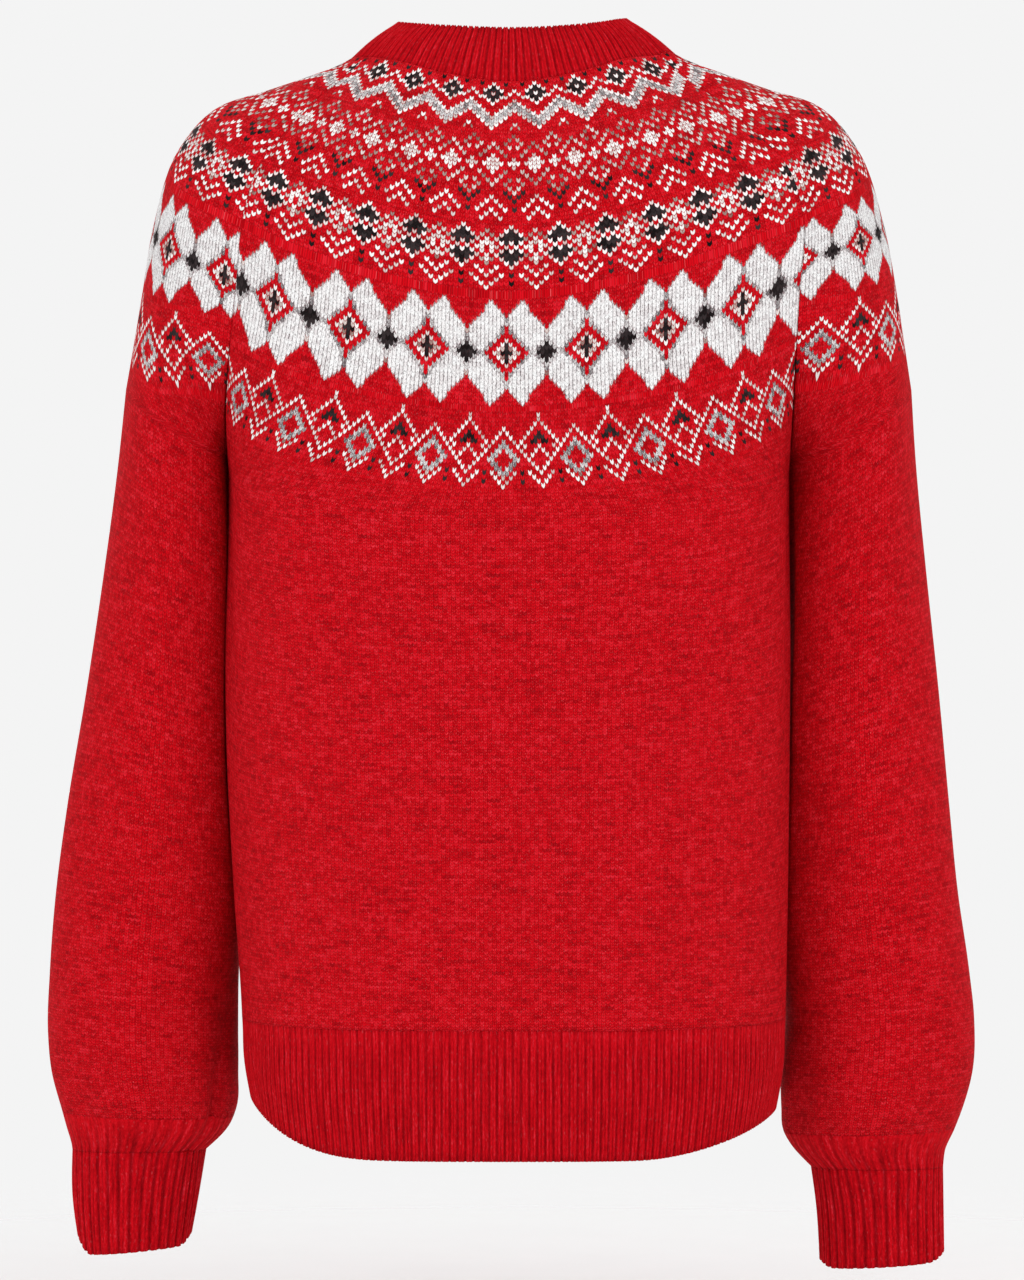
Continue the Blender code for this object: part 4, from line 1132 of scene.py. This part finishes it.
def ribMaterial(name, look):
    # Ribbed wool: pairs of raised wales with grooves between darkened by painted shade, tone that runs
    # along a wale.
    # To the eye: fine upright lines, matt, with a few pale hairs.
    material, tree = emptyMaterial(name)
    coords = addNode(tree, "UVMap", uv_map="stitches")
    split = addNode(tree, "SeparateXYZ", {0: coords})
    turn = addNode(tree, "Math", {0: split, 1: math.pi / 2}, operation="MULTIPLY")
    depths = []
    for kind, power, part in (("COSINE", 5.0, look["between"]), ("SINE", 14.0, look["within"])):
        wave = addNode(tree, "Math", {0: turn}, operation=kind)
        size = addNode(tree, "Math", {0: wave}, operation="ABSOLUTE")
        sharp = addNode(tree, "Math", {0: size, 1: power}, operation="POWER")
        depths.append(addNode(tree, "Math", {0: sharp, 1: part}, operation="MULTIPLY"))
    both = addNode(tree, "Math", {0: depths[0], 1: depths[1]}, operation="ADD")
    # the ribs begin softly at the seam
    begin = addNode(tree, "MapRange", {0: split.outputs[1], 1: 0.0, 2: 16.0, 3: 0.3})
    groove = addNode(tree, "Math", {0: both, 1: begin}, operation="MULTIPLY")
    noises = []
    for wide, tall, detail in ((1.1, 0.07, 2.0), (3.1, 0.55, 3.0), (2.3, 0.5, 1.0)):
        place = addNode(tree, "VectorMath", {0: coords, 1: (wide, tall, 1)}, operation="MULTIPLY")
        noises.append(addNode(tree, "TexNoise", {"Vector": place, "Scale": 1.0, "Detail": detail,
                                                 "Roughness": 0.7}, noise_dimensions="2D"))
    along, fibre, hair = noises
    tone = addNode(tree, "Mix", {0: 0.5, 2: along, 3: fibre})
    ramp = colourRamp(tree, tone, look["ramp"])
    hairs = addNode(tree, "MapRange", {0: hair, 1: 0.68, 2: 0.90, 4: 0.28})
    flecked = addNode(tree, "Mix", {0: hairs, 6: ramp, 7: linearColour(look["paleHairs"])},
                      data_type="RGBA")
    # painted shade: the grooves between and within the pairs of wales are mixed toward a dark red
    sunk = addNode(tree, "Mix", {0: groove, 6: flecked.outputs[2], 7: linearColour("3E0005")},
                   data_type="RGBA")
    fuzz = addNode(tree, "Math", {0: fibre, 1: 0.5, 2: groove}, operation="SUBTRACT")
    bump = addNode(tree, "Bump", {"Height": fuzz, "Strength": 0.5, "Distance": 0.0006})
    shader = addNode(tree, "BsdfPrincipled", {"Base Color": sunk.outputs[2], "Normal": bump,
                                              "Roughness": look["roughness"], "Metallic": 0.0,
                                              "IOR": 1.54, "Specular IOR Level": look["gloss"],
                                              "Sheen Weight": look["sheen"], "Sheen Roughness": 0.45,
                                              "Sheen Tint": linearColour(look["ramp"][-1][1])})
    addNode(tree, "OutputMaterial", {0: shader})
    return material


yarns = {name: knitMaterial(name, look) for name, look in yarnLooks.items()}
knitSlots = [yarns[n] for n in ("redWool", "whiteWool", "blackWool", "greyMarl", "paleMarl",
                                "brushedWhite", "redInside")]
ribSlots = [ribMaterial("redRib", ribLook), yarns["redInside"]]
knitSlots.append(ribSlots[0])
brushedIndex, insideIndex, ribIndex = 5, 6, 7    # places in knitSlots
print("materials ready")


# Ribs, shared by the ribbed pieces and the sleeves' ends

ribPieces = {
    # pairs of a raised and a sunk wale, depth of the groove between pairs and within one at
    # the top and bottom row, rows, height of a knitted row in mm, scallops of the free edge
    "collar": {"pairs": 108, "groove": 1.1, "within": (0.45, 0.45), "rows": 9, "free": (1, 0.9)},
    "hem_back": {"pairs": 99, "groove": 0.9, "within": (0.5, 0.5), "rows": 12, "free": (-1, 0.4)},
    "hem_front_left": {"pairs": 46, "groove": 0.9, "within": (0.5, 0.5), "rows": 12,
                       "free": (-1, 0.4)},
    "hem_front_right": {"pairs": 44, "groove": 0.9, "within": (0.5, 0.5), "rows": 12,
                        "free": (-1, 0.4)},
    "cuff_left": {"pairs": 35, "groove": 1.3, "within": (0.7, 0.3), "rows": 16, "free": (-1, 0.5)},
    "cuff_right": {"pairs": 35, "groove": 1.3, "within": (0.7, 0.3), "rows": 16, "free": (-1, 0.5)},
}
ribColumns = 8           # columns of the mesh over each pair of wales
ribThickness = 2.6


def ribRelief(turn, groove, within):
    # Depth below the ribs' tops: turn counts pairs of wales, with the main groove at whole values
    main = groove * np.abs(np.cos(np.pi * turn)) ** 6
    middle = within * np.abs(np.sin(np.pi * turn)) ** 10
    return main + middle


# The five knitted pieces with the yoke

knitPieces = {
    # columns and rows of the plain part, the cloth laid flat in metres, and its area
    "back": {"columns": 110, "rows": 84, "flat": (0.47, 0.57), "area": 0.205},
    "front_left": {"columns": 56, "rows": 84, "flat": (0.24, 0.53), "area": 0.095},
    "front_right": {"columns": 56, "rows": 84, "flat": (0.24, 0.53), "area": 0.095},
    "sleeve_left": {"columns": 120, "rows": 96, "flat": (0.36, 0.65), "area": 0.16},
    "sleeve_right": {"columns": 120, "rows": 96, "flat": (0.37, 0.65), "area": 0.165},
}
# above each cuff its ribs begin in the sleeve: pairs round the wrist, height in mm, rows
wristRibs = {"pairs": 35, "tall": 26, "rows": 14}
ribStart = 0.5           # share of their depth that the ribs have where the cuff begins
# rib rows that count as done at each piece's top, because the grooves' painted shade and bump grow over 18
# rows
ribFrom = {"cuff": 13, "hem": 7, "collar": 14}
clothThickness = 2.2


def wristRows(name, end):
    # The cuff's ribs fade in over the last part of the sleeve
    columns = wristRibs["pairs"] * ribColumns
    places = np.linspace(0, 1, columns + 1)
    turn = np.arange(columns + 1) / ribColumns
    size = ribPieces["cuff_left"]
    rows = []
    for share in np.linspace(0, 1, wristRibs["rows"] + 1):
        relief = ribRelief(turn, size["groove"], size["within"][0]) * ribStart * share
        rows.append({
            "places": places, "levels": np.full(columns + 1, end - wristRibs["tall"] * (1 - share)),
            "u": 2 * turn, "v": np.full(columns + 1, ribFrom["cuff"] * share), "relief": relief,
            "yarns": np.full(columns, ribIndex), "key": (name, "wrist"),
        })
    return rows


def knitPiece(name):
    size = knitPieces[name]
    rows = []
    firstRow = 0
    for number, band in enumerate(bands):
        rows += bandRows(name, number, firstRow)
        firstRow += len(band["rows"]) + 3
    last = bandE["start"] + bandE["pitch"] * (len(bandE["rows"]) + 0.75)
    end = surfaces[name]["levels"][-1]
    if name.startswith("sleeve"):
        rows += plainRows(name, last + 0.6, underarm, 5, size["columns"], firstRow)[:-1]
        rows += plainRows(name, underarm, end - wristRibs["tall"], size["rows"], size["columns"], firstRow)
        rows += wristRows(name, end)
    else:
        rows += plainRows(name, last + 0.6, end, size["rows"], size["columns"], firstRow)
    return shellMesh(name, surfaces[name], rows, clothThickness, 70, 60, knitSlots, insideIndex)


def finishPiece(piece, node):
    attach(piece, "root")
    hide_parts(node)


for pieceName, size in knitPieces.items():
    cloth = knitPiece(pieceName)
    finishPiece(cloth, pieceName)
    print("knitted", pieceName, len(cloth.data.polygons), "faces")


# Ribbed pieces: collar, hems and cuffs

collarBow = 1.5          # the collar bows out between its two edges
hemRise = (28.0, 21.0)   # the hem's bottom edge rises this far to the left and right seam
hemTurn = (2.8, 1.9)     # and more suddenly as this grows
# height, outer and inner edge, half depth, centre in depth
cuffLeft = (
    (-617, 254.0, 176.0, 27, -49), (-640, 254.5, 179.5, 26, -50), (-674.5, 251.5, 184.5, 25, -51),
)
cuffRight = (
    (-627, 252.5, 175.5, 27, -49), (-650, 253.0, 178.5, 26, -50), (-683, 253.5, 180.5, 25, -51),
)
# slant from inner to outer edge, rounding of the outer and inner corner
cuffEdge = {1: (-6.0, 12.0, 6.0), -1: (4.4, 5.0, 4.0)}


def neckLine():
    # The neck's edge and its outward directions, from the left front round to the right front
    pieces = (
        ("front_left", -1), ("sleeve_left", -1), ("back", 1), ("sleeve_right", 1), ("front_right", 1),
    )
    points, out = [], []
    for name, way in pieces:
        row, direction = (surfaces[name][key][0][::way] for key in ("grid", "normals"))
        points.append(row if not points else row[1:])
        out.append(direction if not out else direction[1:])
    points, out = np.vstack(points), np.vstack(out)
    lengths = walkLengths(points)
    even = np.linspace(0, lengths[-1], 700)
    points = readPath(even, lengths, points)
    out = readPath(even, lengths, out)
    soft = np.hanning(15) / np.hanning(15).sum()
    wide = np.vstack([np.repeat(out[:1], 7, axis=0), out, np.repeat(out[-1:], 7, axis=0)])
    out = np.stack([np.convolve(wide[:, k], soft, mode="valid") for k in range(3)], axis=1)
    return points, unitVectors(out)


def collarSurface():
    base, out = neckLine()
    names = list(collarTops)
    tops = np.array([collarTops[name] for name in names], float)
    bases = np.array([linePoints(name, 1, 0)[0] for name in names])
    angles = np.arctan2(bases[:, 0], bases[:, 1] + 10)
    order = np.argsort(angles)
    keys, tops = angles[order], tops[order]
    keys = np.concatenate([-keys[::-1][:-1], keys])
    tops = np.vstack([tops[::-1][:-1] * np.array([-rightCollar, 1, 1]), tops])
    left = keys > 0
    tops[left, 2] -= leftCollarDrop * np.clip((tops[left, 2] - 24) / 8, 0, 1)
    top = smoothRead(keys, tops, np.arctan2(base[:, 0], base[:, 1] + 10))
    near = np.linspace(0, 1, len(base))
    for end, grow in ((0, 1 - near), (-1, near)):
        top[:, 0] += (base[end, 0] - top[end, 0]) * np.clip(grow * 30 - 29, 0, 1)
    levels = np.linspace(0, 1, 13)
    rows = [base * (1 - t) + top * t + out * collarBow * np.sin(np.pi * t) for t in levels]
    made = makeSurface(levels, near, np.array(rows), np.array([0, -8, -60]))
    made["plainEdges"] = True
    return made


def hemSurface(bodyName):
    top = surfaces[bodyName]["grid"][-1]
    out = unitVectors(surfaces[bodyName]["normals"][-1] * np.array([1, 1, 0]))
    left, right, back, front = torsoSections[4][1:]
    levels = np.linspace(0, 1, 13)
    rows = []
    for share in levels:
        height = hemSeam + (hemBottom - hemSeam) * share
        now = readSections(torsoSections, height)[0]
        row = top.copy()
        side = top[:, 0] > 0
        wide = np.where(side, now[0] / left, now[1] / right)
        deep = np.where(top[:, 1] > sideY, now[2] / back, now[3] / front)
        row[:, 0] = top[:, 0] * (1 + (wide - 1) * easeInOut((np.abs(top[:, 0]) - 24) / 60))
        row[:, 1] = top[:, 1] * deep
        corner = np.abs(top[:, 0]) / np.where(side, left, right)
        high = np.where(side, hemRise[0], hemRise[1])
        turn = np.where(side, hemTurn[0], hemTurn[1])
        rise = high * np.clip((corner - 0.45) / 0.55, 0, 1) ** turn * share
        row[:, 2] = height + rise
        rows.append(row)
    made = makeSurface(levels, surfaces[bodyName]["places"], np.array(rows), np.array([0, 0, -570.0]))
    made["normals"] = np.repeat(out[None], len(rows), axis=0)
    return made


def cuffSurface(side):
    table = cuffLeft if side > 0 else cuffRight
    sleeve = surfaces["sleeve_left" if side > 0 else "sleeve_right"]
    around = np.linspace(0, 1, 241)
    end = readPath(around, sleeve["places"], sleeve["grid"][-1])
    levels = np.linspace(0, 1, 13)
    rows = []
    for share in levels:
        height = table[0][0] + (table[-1][0] - table[0][0]) * share
        outer, inner, depth, centre = readSections(table, height)[0]
        c, s = -np.cos(2 * np.pi * around), np.sin(2 * np.pi * around)
        x = 0.5 * (outer + inner) + 0.5 * (outer - inner) * c
        slant, atOuter, atInner = cuffEdge[side]
        rise = 0.5 * slant * c + atOuter * np.clip((c - 0.7) / 0.3, 0, 1) ** 2
        rise = (rise + atInner * np.clip((-c - 0.8) / 0.2, 0, 1) ** 2) * share ** 2
        rows.append(np.stack([side * x, centre + depth * s, height + rise], axis=1))
    shift = end - rows[0]
    rows = [row + shift * (1 - easeInOut(2.5 * share)) for row, share in zip(rows, levels)]
    grid = np.array(rows)
    made = makeSurface(levels, around, grid, grid[:, :-1].mean(axis=(0, 1)), 0)
    level = unitVectors(made["normals"] * np.array([1, 1, 0]))
    atEnd = readPath(around, sleeve["places"], sleeve["normals"][-1])
    turned = [normal + (atEnd - normal) * (1 - easeInOut(2.5 * share)) for normal, share in zip(level,
                                                                                                levels)]
    made["normals"] = unitVectors(np.array(turned))
    made["plainEdges"] = True
    return made


def ribRows(name, surface):
    size = ribPieces[name]
    low, high = surface["places"][0], surface["places"][-1]
    columns = size["pairs"] * ribColumns
    places = np.linspace(low, high, columns + 1)
    turn = np.arange(columns + 1) / ribColumns
    tall = np.linalg.norm(surface["grid"][-1] - surface["grid"][0], axis=1).max()
    way, scallop = size["free"]
    start = ribFrom[name.split("_")[0]]
    rows = []
    for level in np.linspace(0, 1, size["rows"] + 1):
        within = size["within"][0] + (size["within"][1] - size["within"][0]) * level
        begin = min(1, ribStart + level) if name.startswith("cuff") else min(1, 0.3 + 4 * level)
        relief = ribRelief(turn, size["groove"], within) * begin
        row = {
            "places": places, "levels": np.full(columns + 1, level), "u": 2 * turn,
            "v": np.full(columns + 1, level * tall / ribStitch + start), "relief": relief,
            "yarns": np.zeros(columns, int), "key": (name, "rib"),
        }
        if level == 1:
            row["lift"] = -way * scallop * (relief / size["groove"] - 0.5)
        rows.append(row)
    return rows


ribStitch = 1.9          # height of a row of rib stitches, mm
ribFlat = {
    # laid flat in metres, area, and what carries it
    "collar": ((0.56, 0.045), 0.021, "back"),
    "hem_back": ((0.45, 0.072), 0.0315, "back"),
    "hem_front_left": ((0.21, 0.072), 0.0145, "front_left"),
    "hem_front_right": ((0.205, 0.072), 0.0145, "front_right"),
    "cuff_left": ((0.19, 0.057), 0.0105, "sleeve_left"),
    "cuff_right": ((0.19, 0.056), 0.0105, "sleeve_right"),
}
surfaces["collar"] = collarSurface()
for bodyName, hemName in (("back", "hem_back"), ("front_left", "hem_front_left"), ("front_right",
                                                                                   "hem_front_right")):
    surfaces[hemName] = hemSurface(bodyName)
surfaces["cuff_left"] = cuffSurface(1)
surfaces["cuff_right"] = cuffSurface(-1)

for pieceName, (flat, area, carrier) in ribFlat.items():
    surface = surfaces[pieceName]
    wide = 40 if pieceName.startswith("cuff") else 90
    ribs = shellMesh(pieceName, surface, ribRows(pieceName, surface), ribThickness, 6, wide, ribSlots, 1)
    finishPiece(ribs, pieceName)
    print("ribbed", pieceName, len(ribs.data.polygons), "faces")


# Button bands down the front, and buttons

def centrePath():
    # Depth and height of the centre front line from the collar's top to the hem's bottom
    levels = gridLevels(13, bodyLength, 9)
    rows = [bodyRow(frontLines, 1, level, [1.0])[0] for level in levels]
    grid = surfaces["collar"]["grid"]
    side = 0.5 * (grid[:, 0] + grid[:, -1])
    above = [rows[0] + np.array([0, *(side[k] - side[0])[1:]]) for k in (12, 6)]
    below = []
    for share in (0.5, 1):
        height = hemSeam + (hemBottom - hemSeam) * share
        below.append(np.array([0, -readSections(torsoSections, height)[0][3], height]))
    path = np.array(above + rows + below)
    knots = walkLengths(path)
    return smoothRead(knots, path, np.linspace(0, knots[-1], 160))


def bandStrip(path, offsets, lifts):
    down = np.gradient(path, axis=0)
    out = unitVectors(np.stack([0 * down[:, 0], down[:, 2], -down[:, 1]], axis=1))
    if out[len(out) // 2, 1] > 0:
        out = -out
    columns = []
    for x, lift in zip(offsets, lifts):
        column = path + out * lift
        column[:, 0] = x
        column[:, 1] += x * x / 520
        columns.append(column)
    return np.stack(columns, axis=1), np.repeat(out[:, None], len(offsets), axis=1)


bandStyle = {
    "wale": 2.35,      # spacing of the lengthwise ribs, mm
    "groove": 0.7,
    "thickness": 2.2,
}


def buildBand(name, left, right, rampTo, lift):
    # A strip of lengthwise ribs; from rampTo on it lies the lift above the cloth below it
    across = np.linspace(left, right, int(abs(right - left) / bandStyle["wale"] * 6) + 1)
    rise = lift * easeInOut(np.abs(across - left) / max(abs(rampTo - left), 1e-6)) if lift else 0 * across
    grid, normals = bandStrip(frontPath, across, rise)
    turn = (across - across[0]) / bandStyle["wale"]
    relief = bandStyle["groove"] * np.abs(np.cos(np.pi * turn)) ** 6
    edge = np.minimum(np.abs(across - left), np.abs(across - right))
    relief = relief + 0.8 * np.exp(-(edge / 1.0) ** 2)
    rows, columns = grid.shape[:2]
    outer = grid - normals * relief[None, :, None]
    inner = grid - normals * bandStyle["thickness"]
    index = np.arange(rows * columns).reshape(rows, columns)
    points = np.vstack([outer.reshape(-1, 3), inner.reshape(-1, 3)])
    below = rows * columns
    lengths = walkLengths(frontPath) / ribStitch
    faces, coords, slots = [], [], []

    def add(corners, uv, slot=0):
        faces.append(tuple(int(k) for k in corners))
        coords.extend(uv)
        slots.append(slot)

    for i in range(rows - 1):
        for j in range(columns - 1):
            ids = (index[i, j], index[i, j + 1], index[i + 1, j + 1], index[i + 1, j])
            uv = ((turn[j], lengths[i]), (turn[j + 1], lengths[i]), (turn[j + 1], lengths[i + 1]),
                  (turn[j], lengths[i + 1]))
            add(ids, uv)
            add([k + below for k in ids[::-1]], uv[::-1], 1)
    ring = list(index[0, :-1]) + list(index[:-1, -1]) + list(index[-1, :0:-1]) + list(index[:0:-1, 0])
    for a, b in zip(ring, ring[1:] + ring[:1]):
        add((a, a + below, b + below, b), ((0, 0), (0, 0.5), (0.5, 0.5), (0.5, 0)))
    return buildObject(name + "_cloth", points, faces, slots, coords, ribSlots)


frontPath = centrePath()
upperLift = 2.5 + 0.3
lower = buildBand("band_left", bandHalf - 0.1, -bandHalf, bandHalf, 0)
upper = buildBand("band_right", -(bandHalf + bandRamp), bandHalf, -bandHalf - 1.2, upperLift)
finishPiece(lower, "band_left")
finishPiece(upper, "band_right")


def buttonMaterial():
    # Moulded polyester button: glossy, with faint cloudy depth in its red
    material, tree = emptyMaterial("redButton")
    place = addNode(tree, "TexCoord")
    cloud = addNode(tree, "TexNoise", {"Vector": place.outputs["Object"], "Scale": 90.0, "Detail": 3.0})
    ramp = colourRamp(tree, cloud, ((0, "6E0A12"), (1, "A3121C")))
    scratch = addNode(tree, "TexNoise", {"Vector": place.outputs["Object"], "Scale": 900.0,
                                         "Detail": 2.0})
    rough = addNode(tree, "MapRange", {0: scratch, 3: 0.18, 4: 0.34})
    shader = addNode(tree, "BsdfPrincipled", {"Base Color": ramp, "Roughness": rough, "IOR": 1.56})
    addNode(tree, "OutputMaterial", {0: shader})
    return material


def threadMaterial():
    # Sewing thread through the button's holes: matt dark red polyester
    material, tree = emptyMaterial("sewingThread")
    noise = addNode(tree, "TexNoise", {"Scale": 1500.0})
    ramp = colourRamp(tree, noise, ((0, "7A0C15"), (1, "B01722")))
    shader = addNode(tree, "BsdfPrincipled", {"Base Color": ramp, "Roughness": 0.7, "Sheen Weight": 0.1})
    addNode(tree, "OutputMaterial", {0: shader})
    return material


buttonStyle = {
    "radius": 8.5, "height": 3.2, "sides": 64, "holeOffset": 1.7, "holeRadius": 0.75,
    "count": 8, "fromTop": 16, "fromBottom": 30,
}


def turnedDisc(profile, sides, centre, outward, points, faces, slots, slot):
    # A turned form: profile of radius and height about the outward direction
    across = np.array([1.0, 0, 0])
    up = unitVectors(np.cross(outward, across))
    rings = []
    for r, h in profile:
        if r == 0:
            rings.append([len(points)] * sides)
            points.append(centre + outward * h)
            continue
        ring = []
        for k in range(sides):
            angle = 2 * np.pi * k / sides
            ring.append(len(points))
            turn = across * np.cos(angle) + up * np.sin(angle)
            points.append(centre + outward * h + turn * r)
        rings.append(ring)
    for one, two in zip(rings[:-1], rings[1:]):
        for k in range(sides):
            n = (k + 1) % sides
            faces.append(tuple(dict.fromkeys([one[k], one[n], two[n], two[k]])))
            slots.append(slot)


def stitchThread(start, end, outward, radius, points, faces, slots, slot):
    # A short bowed thread between two holes
    count, sides = 9, 8
    along = unitVectors(end - start)
    side = unitVectors(np.cross(along, outward))
    rings = []
    for t in np.linspace(0, 1, count):
        centre = start * (1 - t) + end * t + outward * 0.55 * math.sin(math.pi * t)
        ring = []
        for k in range(sides):
            angle = 2 * math.pi * k / sides
            ring.append(len(points))
            points.append(centre + side * radius * math.cos(angle) + outward * radius * math.sin(angle))
        rings.append(ring)
    for one, two in zip(rings[:-1], rings[1:]):
        for k in range(sides):
            n = (k + 1) % sides
            faces.append((one[k], two[k], two[n], one[n]))
            slots.append(slot)
    faces.append(tuple(rings[0]))
    faces.append(tuple(rings[-1][::-1]))
    slots.extend((slot, slot))


def buildButton(name, point, outward):
    r, h = buttonStyle["radius"], buttonStyle["height"]
    profile = [(0, 0), (r * 0.80, 0)]
    for angle in np.linspace(-math.pi / 2, math.pi / 2, 9):
        profile.append((r * 0.88 + r * 0.12 * math.cos(angle), h * 0.5 + h * 0.5 * math.sin(angle)))
    profile += [(r * 0.78, h * 0.94), (r * 0.70, h * 0.76), (r * 0.60, h * 0.68), (0, h * 0.66)]
    points, faces, slots = [], [], []
    turnedDisc(profile, buttonStyle["sides"], point, outward, points, faces, slots, 0)
    across = np.array([1.0, 0, 0])
    up = unitVectors(np.cross(outward, across))
    holes = []
    for sx, sy in ((1, 1), (-1, 1), (-1, -1), (1, -1)):
        spot = point + (across * sx + up * sy) * buttonStyle["holeOffset"]
        holes.append(spot + outward * h * 0.66)
        radius = buttonStyle["holeRadius"]
        # a small dark dish with a rolled rim stands for each hole
        rim = [(0, h * 0.60), (radius * 1.35, h * 0.60), (radius * 1.35, h * 0.70),
               (radius * 1.1, h * 0.73), (radius * 0.9, h * 0.68), (0, h * 0.665)]
        turnedDisc(rim, 20, spot, outward, points, faces, slots, 1)
    for one, two in ((0, 2), (1, 3)):
        for offset in (-0.28, 0.28):
            side = unitVectors(np.cross(holes[two] - holes[one], outward)) * offset
            stitchThread(holes[one] + side, holes[two] + side, outward, 0.26, points, faces, slots, 1)
    coords = [(0.0, 0.0)] * sum(len(face) for face in faces)
    return buildObject(name + "_turned", np.array(points), faces, slots, coords, buttonSlots)


buttonSlots = [buttonMaterial(), threadMaterial()]
lengths = walkLengths(frontPath)
pathDown = unitVectors(np.gradient(frontPath, axis=0))
buttonPlaces = np.linspace(buttonStyle["fromTop"], lengths[-1] - buttonStyle["fromBottom"],
                           buttonStyle["count"])
for number, place in enumerate(buttonPlaces, 1):
    point = readPath(place, lengths, frontPath)
    slope = readPath(place, lengths, pathDown)
    outward = unitVectors(np.array([0, slope[2], -slope[1]]))
    button = buildButton("button_%d" % number, point + outward * (upperLift + 0.3), outward)
    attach(button, "root")
    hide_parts("button_%d" % number)
print("bands and buttons ready")


# Floor, light and camera

def stageMaterial():
    # Matt pale floor that fades out into the pale surroundings
    material, tree = emptyMaterial("paleFloor")
    place = addNode(tree, "TexCoord")
    centre = addNode(tree, "VectorMath", {0: place.outputs["Object"]}, operation="LENGTH")
    fade = addNode(tree, "MapRange", {0: centre.outputs["Value"], 1: 0.3, 2: 1.3, 3: 0.0, 4: 1.0},
                   interpolation_type="SMOOTHSTEP")
    noise = addNode(tree, "TexNoise", {"Scale": 40.0})
    tint = addNode(tree, "MapRange", {0: noise, 3: 0.88, 4: 0.92})
    matt = addNode(tree, "BsdfDiffuse", {0: tint, 1: 0.5})
    clear = addNode(tree, "BsdfTransparent")
    both = addNode(tree, "MixShader", {0: fade, 1: matt, 2: clear})
    addNode(tree, "OutputMaterial", {0: both})
    return material


def areaLight(name, place, size, power, aim):
    data = bpy.data.lights.new(name, "AREA")
    data.shape = "RECTANGLE"
    data.size, data.size_y = size
    data.energy = power
    light = bpy.data.objects.new(name, data)
    light.location = place
    direction = Vector(aim) - Vector(place)
    light.rotation_euler = direction.to_track_quat("-Z", "Y").to_euler()
    bpy.context.scene.collection.objects.link(light)


def buildStage():
    mesh = bpy.data.meshes.new("floor")
    ring = [(1.4 * math.cos(a), 1.4 * math.sin(a), 0) for a in np.linspace(0, 2 * math.pi, 65)[:-1]]
    mesh.from_pydata(ring, [], [tuple(range(64))])
    mesh.materials.append(stageMaterial())
    floor = bpy.data.objects.new("floor", mesh)
    floor.location = (0, 0, -0.76)
    bpy.context.scene.collection.objects.link(floor)
    world = bpy.data.worlds.new("studio")
    world.use_nodes = True
    world.node_tree.nodes["Background"].inputs[0].default_value = linearColour("F4F4F4")
    world.node_tree.nodes["Background"].inputs[1].default_value = 1.0
    bpy.context.scene.world = world


# straight behind the garment: its place, and the height of the frame seen at the garment, in metres
cameraView = {"x": -0.0017, "z": -0.321, "distance": 2.7, "seen": 0.7314, "sensor": 36}


def buildCamera():
    data = bpy.data.cameras.new("camera")
    data.lens = cameraView["sensor"] * cameraView["distance"] / cameraView["seen"]
    camera = bpy.data.objects.new("camera", data)
    camera.location = (cameraView["x"], cameraView["distance"], cameraView["z"])
    camera.rotation_euler = (math.radians(90), 0, math.radians(180))
    bpy.context.scene.collection.objects.link(camera)
    bpy.context.scene.camera = camera


lights = {
    # place, width and height in metres, watts, and the point it is aimed at
    "key": ((-0.9, 2.4, 0.9), (1.6, 1.6), 14, (0, 0, -0.3)),
    "fill": ((1.4, 2.2, 0.2), (1.4, 1.8), 8, (0, 0, -0.35)),
    "front": ((0.6, -2.4, 0.8), (1.6, 1.6), 14, (0, 0, -0.3)),
}
buildStage()
for lightName, setting in lights.items():
    areaLight(lightName, *setting)
buildCamera()
print("stage, lights and camera ready")
bpy.context.scene.view_settings.view_transform = "Standard"
